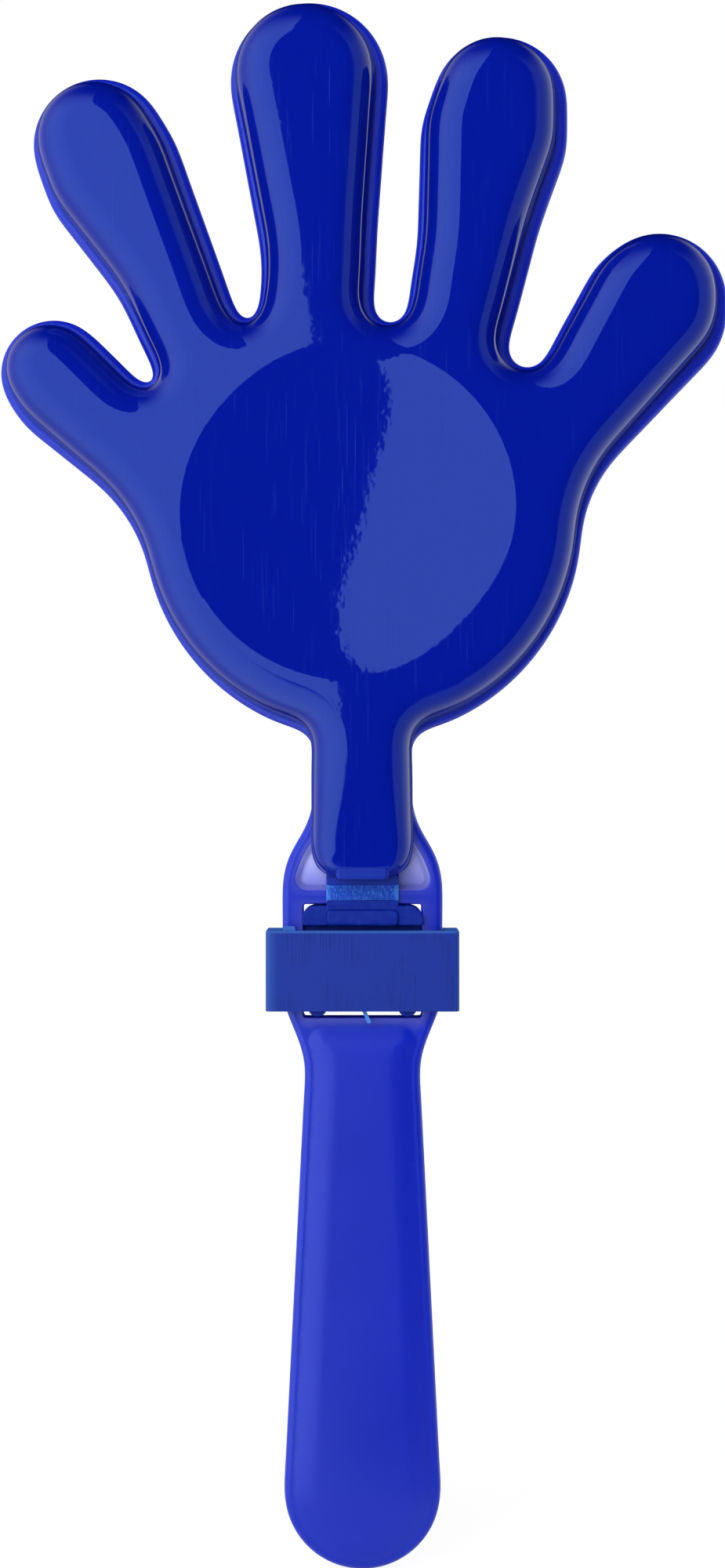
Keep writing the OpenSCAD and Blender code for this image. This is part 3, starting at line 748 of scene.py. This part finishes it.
def hand_shell(hand, rim, face):
    """An outer hand's shell: its section carried along its outline, from the hollow's floor round the rim to the face.

    Towards the neck's end the section narrows to 0.7 of its width, and to half of that where the outline faces down.
    """
    corner, x = hand.neck_corner, hand.neck_w / 2 - hand.neck_corner
    corners = [(side * x, hand.neck_end + corner, corner) for side in (-1, 1)]
    line, outward = belt(np.concatenate([corners, hand_rounds(hand, hand.palm_r, hand.neck_w, 0, 0)]), ease=hand.ease)
    start, length = hand.neck_end + 6 * MM, 14 * MM
    broad = smooth(line[:, 1], start, start + length)
    faces_down = np.minimum(outward[:, 1], 0) ** 2
    stretch = (0.7 + 0.3 * broad) * (1 - 0.5 * (1 - broad) * faces_down)
    hollow, thick, out = face + hand.wall, hand.lip_w + hand.wall, hand.lip_w + hand.edge_r
    lip = rim - hand.lip_h
    inner_round, outer_round, lip_round, face_round = 0.2 * MM, 0.3 * MM, 0.25 * MM, hand.edge_r * 0.999
    steps = section([
        (out, hollow, 0), (thick, hollow, hand.edge_r - hand.wall), (thick, rim, inner_round), (0, rim, outer_round),
        (0, lip, lip_round), (hand.lip_w, lip - hand.lip_w, lip_round), (hand.lip_w, face, face_round),
        (out, face, 0)], side=-1)
    skin, floor_ring, face_ring = ribbon((line, outward), steps, stretch)
    made = (skin, dished_face(floor_ring, hand, 1), dished_face(face_ring, hand, -1))
    return [sunk(part, hand, rim, face) for part in made]


def pillow(ring, rise, width, spacing=0.7 * MM):
    """A raised panel: a flat sheet whose points rise with their distance d from the ring.

    With v = d / width, at most 1, the rise is 1 - (1 - v)^2 of the whole. Normals follow its slope.
    """
    grid = staggered(ring, spacing)
    start, along = ring[:, :2], np.roll(ring[:, :2], -1, axis=0) - ring[:, :2]
    share = ((grid[:, None] - start) * along).sum(axis=2) / (along ** 2).sum(axis=1)
    away = grid[:, None] - start - np.clip(share, 0, 1)[..., None] * along
    far = np.linalg.norm(away, axis=2)
    nearest = far.argmin(axis=1)
    rows = np.arange(len(grid))
    far, away = far[rows, nearest], away[rows, nearest]
    keep = far > spacing / 2
    grid, far, away = grid[keep], far[keep], away[keep]
    v = np.minimum(far / width, 1)
    steep = rise * 2 * (1 - v) / width
    points, normals, triangles = sheet([ring], -1, at_depth(grid, ring[0, 2]))
    points[len(ring):, 2] -= rise * v * (2 - v)
    normals[len(ring):, :2] = -(steep / far)[:, None] * away
    return points, unit(normals), triangles


def handle_lines(hand, handle):
    """Outlines of the handle: the plate, the thin floor, the window and a grip panel."""
    middle = handle.shoulder_w / 2
    low, high = handle.window_low, handle.window_high
    waist = (handle.waist_w / 2 + handle.waist_hollow, handle.waist_z, -handle.waist_hollow)
    upper = (middle - handle.upper_round, high + handle.bar_h, handle.upper_round)
    flare = (handle.neck_w / 2 + handle.flare_hollow, handle.flare_z, -handle.flare_hollow)
    side = [waist, (middle - handle.lower_round, low + handle.lower_round * 2 / 3, handle.lower_round), upper, flare]
    grip_end = (0, -handle.grip_drop, handle.grip_end_r)
    centre = hand_rounds(hand, handle.palm_r, handle.neck_w, handle.margin, handle.drop)
    plate = belt(np.concatenate([[grip_end], side, centre, mirrored(side)]), ease=hand.ease)
    corner, floor_ease, panel_ease = 2 * MM, 0.8 * MM, 0.5 * MM
    corners = [(middle - handle.rim_w - corner, high + handle.bar_h + corner, corner)]
    inner = grown([upper, flare], -handle.rim_w)
    floor = belt(np.concatenate([mirrored(corners), corners, inner, grown(centre, -handle.rim_w), mirrored(inner)]),
                 ease=floor_ease)
    x = handle.window_w / 2
    window = rectangle((-x, low), (x, high), 0.45 * MM, math.radians(15))
    hollow = handle.waist_hollow + handle.panel_rim
    top = handle.panel_top - handle.panel_corner
    corner_x = waist[0] - handle.panel_corner - math.sqrt(hollow ** 2 - min(top - waist[1], hollow) ** 2)
    panel_side = [(waist[0], waist[1], -hollow), (corner_x, top, handle.panel_corner)]
    panel = belt(np.concatenate([grown([grip_end], -handle.panel_rim), panel_side, mirrored(panel_side)]),
                 ease=panel_ease)
    return plate, floor, window, panel


def handle_skin(hand, handle):
    """The handle's two equal sides: plate edge with its parting ridge, window, pockets down to the thin floor, and grip
    panels."""
    plate, floor, window, panel = handle_lines(hand, handle)
    half, edge = handle.plate_t / 2, handle.edge_r
    small, fillet, batter, floor_y = 0.3 * MM, 0.5 * MM, 0.9 * MM, -handle.floor_t / 2
    ridge, ridge_round, arc = 0.12 * MM, 0.05 * MM, edge * 0.99
    rim, *rim_rings = ribbon(plate, section([
        (edge, -half, 0), (0, -half, arc), (0, -ridge, ridge_round), (-ridge, 0, ridge_round),
        (0, ridge, ridge_round), (0, half, arc), (edge, half, 0)], step=LONG_EDGE_STEP))
    hole, *hole_rings = ribbon(window, wall_section(-half, half, -small, side=-1))
    wall, top_ring, floor_ring = ribbon(floor, section([
        (-small, -half, 0), (0, -half, fillet), (batter, floor_y, fillet), (batter + fillet, floor_y, 0)],
        side=-1, step=LONG_EDGE_STEP))
    bottom = sheet([floor_ring], -1, at_depth(staggered(floor_ring, 3 * MM), floor_y))
    panel_ring = at_depth(panel[0] + handle.panel_slope * panel[1], -half)
    near = front([wall, bottom, pillow(panel_ring, handle.panel_rise, handle.crown_w)])
    parts = front([rim, hole]) + near + mirror_y(near)
    # Points along the middle of the bar above the window keep the painted pale edge lines on both sides of it narrow
    bar_x = handle.shoulder_w / 2 - handle.rim_w
    bar = at_depth(np.linspace(-bar_x, bar_x, 40), handle.window_high + handle.bar_h / 2)
    for side, rim_ring, hole_ring in zip((-1, 1), rim_rings, hole_rings):
        holes = [hole_ring, *(ring * [1, 1, -side] for ring in (top_ring, panel_ring))]
        parts += front([sheet([rim_ring, *holes], side, at_depth(bar, side * half))])
    return parts


def vertex_share(obj, name, share):
    """Stores a share from 0 to 1 for each point of a piece, from share(points)."""
    mesh = obj.data
    points = np.empty(len(mesh.vertices) * 3, np.float32)
    mesh.vertices.foreach_get("co", points)
    values = share(points.reshape(-1, 3).astype(float)).astype(np.float32)
    mesh.attributes.new(name, "FLOAT", "POINT").data.foreach_set("value", values)


def painted_backlight_share(points, hand, handle):
    """Share of the pale painted backlight on the handle, painted light standing in for light through its thin floor:
    full on the floor near the flare, fading towards the window and up into the hand, a little less on the pockets'
    sides, and less than half along the edges of the pockets and the window."""
    _, y, z = points.T
    half = handle.plate_t / 2
    _, floor, window, _ = handle_lines(hand, handle)
    deep = np.clip((half - np.abs(y)) / (half - handle.floor_t / 2), 0, 1)
    share = inside(points[:, [0, 2]], floor[0]) * (0.8 + 0.2 * deep)
    face = np.flatnonzero((deep < 0.01) & (z < handle.flare_z) & (z > handle.panel_top))
    edges = np.concatenate([floor[0], window[0]])
    edges = edges[edges[:, 1] < handle.flare_z]
    apart = np.linalg.norm(points[face][:, None, [0, 2]] - edges, axis=2).min(axis=1)
    touching = face[apart < 0.5 * MM]
    # painted light: pale lines along the edges of the pockets and the window, paler under the window
    under_window, other_edges = 0.4, 0.12
    share[touching] = np.where(z[touching] < handle.window_low + MM, under_window, other_edges)
    # the painted backlight fades towards the window and up into the hand
    fade_in = np.clip((z - 72 * MM) / (10 * MM), 0.3, 1)
    fade_out = np.clip((130 * MM - z) / (35 * MM), 0.2, 1)
    return share * fade_in * fade_out


class CLAPPER_OT_handle(bpy.types.Operator):
    """Builds the handle with the centre hand"""
    bl_idname = "clapper.handle"
    bl_label = "Handle and centre hand"

    def execute(self, context):
        scene = context.scene
        hand, handle = scene.clapper_hand, scene.clapper_handle
        material = plastic("polypropylene_satin_mould", satin_mould, scene.clapper_finishes)
        obj = piece("handle_and_centre_hand", handle_skin(hand, handle), material)
        # painted backlight share, stored as the thin attribute
        vertex_share(obj, "thin", lambda points: painted_backlight_share(points, hand, handle))
        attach(obj, "handle")
        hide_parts("handle_centre_hand")
        return {"FINISHED"}


# Rounding of the corners and edges of the tabs at both ends of a web
TAB_ROUNDS = 0.3 * MM, 0.2 * MM


class CLAPPER_OT_hands(bpy.types.Operator):
    """Builds the two hollow outer hands with the bars and tabs at their necks' ends"""
    bl_idname = "clapper.hands"
    bl_label = "Outer hands"

    def execute(self, context):
        hand, hinge = context.scene.clapper_hand, context.scene.clapper_hinge
        low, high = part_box("front_hand")
        rim, face = high.y, low.y
        web_low, web_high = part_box("front_living_hinge")
        shell = front(hand_shell(hand, rim, face))
        bar_z, spare = hand.neck_end - hinge.bar_drop, 0.05 * MM
        bar_top, bar_base = bar_z + hinge.bar_h, 2 * MM - rim
        bar = block((-hinge.bar_w / 2, rim - hinge.bar_out, bar_z), (hinge.bar_w / 2, rim - hand.wall, bar_top),
                    hinge.rib_corner, hinge.rib_edge)
        tab = block((web_low.x, rim - hinge.tab_t, web_high.z),
                    (web_high.x, rim - spare, hand.neck_end + hand.lip_w + hand.wall / 2), *TAB_ROUNDS)

        def on_bar(points):
            x, y, z = np.abs(points).T
            return (z < bar_top + spare) & (x < web_high.x + 2 * spare) & ((y > bar_base) | (z < bar_z))

        material = plastic("polypropylene_polished_mould", polished_mould, context.scene.clapper_finishes)
        leant = leaning(shell + bar, hand.lean, HINGE_Z) + tab
        for name, parts in (("front_hand", leant), ("rear_hand", mirror_y(shell + bar + tab))):
            obj = piece(name + "_shell", parts, material)
            vertex_share(obj, "stipple", on_bar)
            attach(obj, name)
            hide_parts(name)
        return {"FINISHED"}


class CLAPPER_OT_webs(bpy.types.Operator):
    """Builds the two thin webs that bend between the handle and the hands"""
    bl_idname = "clapper.webs"
    bl_label = "Hinge webs"

    def execute(self, context):
        overlap, steps = 0.3 * MM, 28
        material = plastic("polypropylene_stress_whitened", stress_whitened, context.scene.clapper_finishes)
        for side, body in (("front", "front_hand"), ("rear", "rear_hand")):
            node = side + "_living_hinge"
            low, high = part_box(node)
            middle = (low + high) / 2
            half_w, half_t = (high.x - low.x) / 2, (high.y - low.y) / 2
            line, normals = rectangle((-half_w, -half_t), (half_w, half_t), half_t * 0.8, math.radians(15))
            upright = np.stack([np.zeros(steps), np.linspace(low.z - overlap, high.z + overlap, steps)], axis=1)
            skin, bottom, top = ribbon((line + [0, middle.y], normals), (upright, np.tile([-1.0, 0.0], (steps, 1))))
            parts = [self.necked(part, middle, high.z - middle.z, half_t)
                     for part in (skin, sheet([bottom], -1), sheet([top], 1))]
            obj = piece(side + "_web", parts, material)
            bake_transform(obj)
            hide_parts(node)
        return {"FINISHED"}

    def necked(self, part, middle, half_h, half_t):
        """A web's part made thicker towards both ends: y from the mid plane times 1 + 0.6 * u^2, u being the height
        from the middle in half heights."""
        points, normals, triangles = part
        more = 0.6
        u = (points[:, 2] - middle.z) / half_h
        points[:, 1] = middle.y + (points[:, 1] - middle.y) * (1 + more * u ** 2)
        normals[:, 2] -= np.abs(normals[:, 1]) * half_t * 2 * more * u / half_h
        return points, unit(normals), triangles


class CLAPPER_OT_feet(bpy.types.Operator):
    """Builds the two feet of the outer hands, snapped into the handle's window"""
    bl_idname = "clapper.feet"
    bl_label = "Hinge feet"

    def execute(self, context):
        hinge, handle = context.scene.clapper_hinge, context.scene.clapper_handle
        leg_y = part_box("front_hinge_foot")[0].y + 0.6 * MM
        web_low, web_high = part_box("front_living_hinge")
        rim, gap = web_high.y, hinge.foot_gap
        bottom, top = handle.window_low + gap, handle.window_high - gap
        shoulder = top - hinge.shoulder_h
        x, plate_x = hinge.shoulder_w / 2, handle.window_w / 2 - gap
        front_y, back, out = -handle.plate_t / 2 - handle.panel_rise, -gap / 2, rim - hinge.shoulder_t
        # The plate stops below the collar's top, and thin fillers behind it close the window
        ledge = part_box("collar")[1].z - 2 * MM
        parts = block((-plate_x, front_y, bottom + hinge.leg_l), (plate_x, back, ledge), 0.4 * MM, 0.2 * MM)
        for half_w, near, foot, head in ((plate_x + gap * 0.9, back - 0.7 * MM, ledge - MM, shoulder + MM),
                                         (x - hinge.shoulder_round, rim - 0.2 * MM, shoulder + 0.3 * MM, top)):
            parts += block((-half_w, near, foot), (half_w, back, head), 0.05 * MM, 0.04 * MM)
        parts += block((-x, out, shoulder), (x, rim, top), 0.6 * MM, hinge.edge_r, hinge.shoulder_round)
        parts += block((web_low.x, out - hinge.rib_out, shoulder), (web_high.x, rim, shoulder + hinge.rib_h),
                       hinge.rib_corner, hinge.rib_edge)
        inset = 0.05 * MM
        parts += block((web_low.x + inset, out - inset, shoulder + inset), (web_high.x - inset, rim - inset, web_low.z),
                       *TAB_ROUNDS)
        half_w, leg_top = hinge.leg_w / 2, bottom + hinge.leg_l + MM
        for leg_x in (-hinge.leg_pitch / 2, hinge.leg_pitch / 2):
            parts += block((leg_x - half_w, leg_y, bottom), (leg_x + half_w, back, leg_top), half_w * 0.9, hinge.edge_r,
                           0.5 * MM)
        material = plastic("polypropylene_scuffed", scuffed, context.scene.clapper_finishes)
        for name, made in (("front_hinge_foot", parts), ("rear_hinge_foot", mirror_y(parts))):
            obj = piece(name + "_moulding", made, material)
            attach(obj, "handle")
            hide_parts(name)
        return {"FINISHED"}


class CLAPPER_OT_collar(bpy.types.Operator):
    """Builds the rectangular sleeve that traps the feet"""
    bl_idname = "clapper.collar"
    bl_label = "Collar"

    def execute(self, context):
        hinge = context.scene.clapper_hinge
        low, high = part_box("collar")
        edge, wall = hinge.collar_edge, hinge.collar_wall

        def side(inset, corner, edge, facing):
            """The sleeve's outer or inner side and its upper and lower rings."""
            x, y = high.x - inset, high.y - inset
            line = rectangle((-x, -y), (x, y), corner, math.radians(9))
            return ribbon(line, wall_section(high.z, low.z, edge, facing))

        outer, outer_top, outer_low = side(0, hinge.collar_corner, edge, -1)
        inner, inner_top, inner_low = side(wall, 0.3 * MM, -edge, 1)
        parts = [outer, inner, sheet([outer_top, inner_top], 1), sheet([outer_low, inner_low], -1)]
        material = plastic("polypropylene_drag_lined", drag_lined, context.scene.clapper_finishes)
        obj = piece("collar_sleeve", parts + self.flash(low, high, wall), material)
        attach(obj, "handle")
        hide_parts("collar")
        return {"FINISHED"}

    def flash(self, low, high, wall):
        """Thin scraps left by the mould on the front wall: one on the upper edge at the left, one hanging below."""
        near = low.y + wall
        burr = block((-14.2 * MM, near - MM, high.z - 0.2 * MM), (-11.9 * MM, near - 0.5 * MM, high.z + 0.8 * MM),
                     0.2 * MM, 0.1 * MM, 0.45 * MM)
        sliver = block((-0.1 * MM, near - 0.9 * MM, low.z - 2.5 * MM), (0.6 * MM, near - 0.5 * MM, low.z + 0.2 * MM),
                       0.3 * MM, 0.1 * MM)
        return burr + leaning(sliver, math.radians(25), low.z)


def seen_share(tree, strength):
    """A strength for what the camera, gloss and glass see, and nought for the light that falls on the object."""
    path = add(tree, "LightPath", output="Is Camera Ray").node.outputs
    seen = add(tree, "Math", {0: path["Is Camera Ray"], 1: path["Is Glossy Ray"]}, operation="MAXIMUM")
    seen = add(tree, "Math", {0: seen, 1: path["Is Transmission Ray"]}, operation="MAXIMUM")
    return add(tree, "Math", {0: seen, 1: strength}, operation="MULTIPLY")


def soft_box(name, right, left, heights, radiance):
    """A soft box between two points (x, y) on plan and two heights, facing the object, with a power of
    radiance * pi * area. Neither the camera nor gloss sees it."""
    across = Vector((left[0] - right[0], left[1] - right[1], 0))
    light = bpy.data.lights.new(name, "AREA")
    light.shape = "RECTANGLE"
    light.size, light.size_y = across.length, heights[1] - heights[0]
    light.energy = radiance * math.pi * light.size * light.size_y
    obj = bpy.data.objects.new(name, light)
    obj.location = ((right[0] + left[0]) / 2, (right[1] + left[1]) / 2, sum(heights) / 2)
    facing = across.cross(Vector((0, 0, 1)))
    if facing.dot(obj.location) > 0:
        facing = -facing
    obj.rotation_euler = facing.to_track_quat("-Z", "Y").to_euler()
    obj.visible_camera = obj.visible_glossy = False
    bpy.context.scene.collection.objects.link(obj)


def elevation(points):
    """Angle in degrees at which points stand above the palm's middle, seen from the middle of the studio."""
    return np.degrees(np.arctan2(points[:, 2] - 0.1, np.hypot(points[:, 0], points[:, 1])))


def left_glow(angle, points):
    """Radiance of the main light: a little brighter at the side, weaker behind, and fading out overhead and on the
    floor in front."""
    side, ahead, end = smooth(angle, 10, 40), smooth(angle, 110, 60), smooth(angle, 165, 140)
    low, floor = smooth(elevation(points), 78, 30), np.maximum(smooth(points[:, 2], -0.02, 0.1), smooth(angle, 3, 10))
    return (1.9 + 0.3 * side) * (0.35 + 0.65 * ahead) * end * low * floor


def right_glow(angle, points):
    """Radiance of the light on the right: it starts weak where the way from the palm turns 56 degrees from straight
    ahead, is brighter behind, and fades out above."""
    away = points - [0, 0, 0.14]
    ahead = np.degrees(np.arccos(-away[:, 1] / np.linalg.norm(away, axis=1)))
    behind, start, end = smooth(ahead, 80, 120), smooth(ahead, 54, 58), smooth(angle, -165, -140)
    return (0.6 + 0.4 * behind) * start * end * smooth(elevation(points), 60, 30)


def gloss_only(obj):
    """Lets only reflections see a stage piece."""
    for rays in ("camera", "diffuse", "transmission", "volume_scatter", "shadow"):
        setattr(obj, "visible_" + rays, False)


WHITE, BLACK = (1, 1, 1, 1), (0, 0, 0, 1)
# Radii of the studio's lit walls, black tent and floor, in metres
WALL_R, TENT_R, FLOOR_R = 1.25, 3.5, 4
# Soft boxes: name, right and left end on plan and lowest and highest point in metres, and radiance
SOFT_BOXES = (
    ("soft_box_rear_left", (-0.2, 1.5), (-1.4, 0.3), (-0.04, 1.2), 3.2),
    ("soft_box_rear_right", (1.4, 0.1), (0.4, 1.5), (-0.04, 1.2), 2.0),
    ("soft_box_key", (0.05, -1.25), (-0.9, -0.95), (0.1, 1.2), 5.6),
)


class CLAPPER_OT_stage(bpy.types.Operator):
    """Builds the pale floor, the soft boxes, the dark tent that gloss reflects, the world and the camera"""
    bl_idname = "clapper.stage"
    bl_label = "Studio and camera"

    def execute(self, context):
        scene = context.scene
        scene.view_settings.view_transform = "Standard"
        floor_z = CAD_BOX[0].z
        self.floor(floor_z)
        self.tent(floor_z)
        top, foot, ground = 1.75, 0.02, floor_z + 3 * MM
        overhead = [(0.95, top, 0), (0, top, 0.7), (0, 0.3, 0), (0, 0.1, 0), (0, foot, 0)]
        cove = [(0, foot, 0), (0, ground, 0.05), *((inset, ground, 0) for inset in np.linspace(0.3, 1.2, 19))]
        swing = (0.0123, 0.266)
        for part, corners in (("wall", overhead), ("cove", cove)):
            self.soft_wall("studio_left_" + part, corners, (0, 165), swing, left_glow)
            self.soft_wall("studio_right_" + part, corners, (-20, -165), (0, 0), right_glow)
        for box in SOFT_BOXES:
            soft_box(*box)
        self.world(scene)
        self.camera(scene)
        return {"FINISHED"}

    def world(self, scene):
        """Weak even light on the object, and white for the camera, gloss and glass."""
        scene.world = scene.world or bpy.data.worlds.new("studio")
        tree = empty_tree(scene.world)
        ambient = add(tree, "Background", {"Color": WHITE, "Strength": 0.12})
        shown = add(tree, "Background", {"Color": WHITE, "Strength": 1.0})
        add(tree, "OutputWorld", {"Surface": add(tree, "MixShader", {0: seen_share(tree, 1.0), 1: ambient, 2: shown})})

    def floor(self, floor_z):
        """A pale disc under the object, which takes its shadow: most of what the camera sees near it, and all further
        away, is the floor's own white."""
        def paint(tree):
            matt = add(tree, "BsdfDiffuse", {"Color": (0.85, 0.85, 0.85, 1)})
            white = add(tree, "Emission", {"Color": WHITE, "Strength": 1.05})
            place = add(tree, "TexCoord", output="Object")
            away = add(tree, "VectorMath", {0: place}, output="Value", operation="LENGTH")
            plain = add(tree, "MapRange", {"Value": away, "From Min": 0.2, "From Max": 0.7, "To Min": 0.85})
            return add(tree, "MixShader", {0: seen_share(tree, plain), 1: matt, 2: white})

        ring = at_depth(FLOOR_R * around(np.linspace(0, TAU, 96, endpoint=False)), floor_z)
        piece("studio_floor", [sheet([ring], 1)], surfaced("painted_studio_floor", paint))

    def soft_wall(self, name, corners, span, swing, glow):
        """A lit cloth wall round part of the studio, whose section has corners (inset, height, rounding).

        It spans two angles on plan, from straight in front of the object to its left. It is turned further left
        with the cube of the height, and its radiance is glow(angle in degrees, points). Only gloss sees it.
        """
        def lit(tree):
            strength = add(tree, "Attribute", output="Fac", attribute_name="glow")
            return add(tree, "Emission", {"Color": WHITE, "Strength": strength})

        angle = np.radians(np.linspace(*span, 46))
        ring = np.stack([-np.sin(angle), -np.cos(angle)], axis=1)
        (points, normals, triangles), _, _ = ribbon((WALL_R * ring, ring), section(corners, step=math.radians(6)),
                                                    closed=False)
        x, y, z = points.T
        turn = (swing[0] + swing[1] * np.clip(z, 0, 0.8) ** 3) / WALL_R
        points = np.stack([x * np.cos(turn) + y * np.sin(turn), y * np.cos(turn) - x * np.sin(turn), z], axis=1)
        obj = piece(name, [(points, normals, triangles)], surfaced("lit_white_cloth", lit))
        vertex_share(obj, "glow", lambda at: glow(np.degrees(np.arctan2(-at[:, 0], -at[:, 1])), at))
        gloss_only(obj)

    def tent(self, floor_z):
        """A black cloth tent round the studio with black cloth on its floor round the object, seen only in reflections,
        so that gloss shows the lights alone."""
        ring = around(np.linspace(0, TAU, 48, endpoint=False))
        up = np.linspace(0, math.pi / 2 - 0.05, 16)
        steps = np.stack([TENT_R * (1 - np.cos(up)), floor_z + TENT_R * np.sin(up)], axis=1)
        lean = np.stack([np.cos(up), -np.sin(up)], axis=1)
        skin, _, crown = ribbon((TENT_R * ring, ring), (steps, lean))
        cloth = [at_depth(r * ring, floor_z + MM) for r in (TENT_R + 0.1, 0.06)]
        black = surfaced("black_cloth", lambda tree: add(tree, "BsdfDiffuse", {"Color": BLACK}))
        gloss_only(piece("studio_tent", [skin, sheet([crown], -1), sheet(cloth, 1)], black))

    def camera(self, scene):
        """Level camera in front of the picture's middle, at a distance at which the picture is as high as it should be
        at the handle's mid plane, all in metres."""
        distance, height, middle = 0.52, 0.28056, 0.0931
        data = bpy.data.cameras.new("camera")
        data.lens = data.sensor_width * distance / height
        data.clip_start = 0.01
        obj = bpy.data.objects.new("camera", data)
        obj.location = (0, -distance, middle)
        obj.rotation_euler = (math.pi / 2, 0, 0)
        scene.collection.objects.link(obj)
        scene.camera = obj


OPERATORS = (CLAPPER_OT_handle, CLAPPER_OT_hands, CLAPPER_OT_webs, CLAPPER_OT_feet, CLAPPER_OT_collar,
             CLAPPER_OT_stage)


class CLAPPER_PT_panel(bpy.types.Panel):
    """Lists the pieces of the clapper"""
    bl_label = "Hand clapper"
    bl_idname = "CLAPPER_PT_panel"
    bl_space_type = "VIEW_3D"
    bl_region_type = "UI"
    bl_category = "Clapper"

    def draw(self, context):
        for operator in OPERATORS:
            self.layout.operator(operator.bl_idname)


GROUPS = {"clapper_hand": HandSizes, "clapper_handle": HandleSizes, "clapper_hinge": HingeSizes,
          "clapper_finishes": Finishes}
CLASSES = (*GROUPS.values(), *OPERATORS, CLAPPER_PT_panel)


def register():
    """Registers the classes and gives the scene its groups of sizes and colours."""
    for cls in CLASSES:
        bpy.utils.register_class(cls)
    for name, group in GROUPS.items():
        setattr(bpy.types.Scene, name, PointerProperty(type=group))


def unregister():
    """Takes back what register did."""
    for name in GROUPS:
        delattr(bpy.types.Scene, name)
    for cls in reversed(CLASSES):
        bpy.utils.unregister_class(cls)


def main():
    register()
    for step in ("handle", "hands", "webs", "feet", "collar", "stage"):
        getattr(bpy.ops.clapper, step)()


if __name__ == "__main__":
    main()
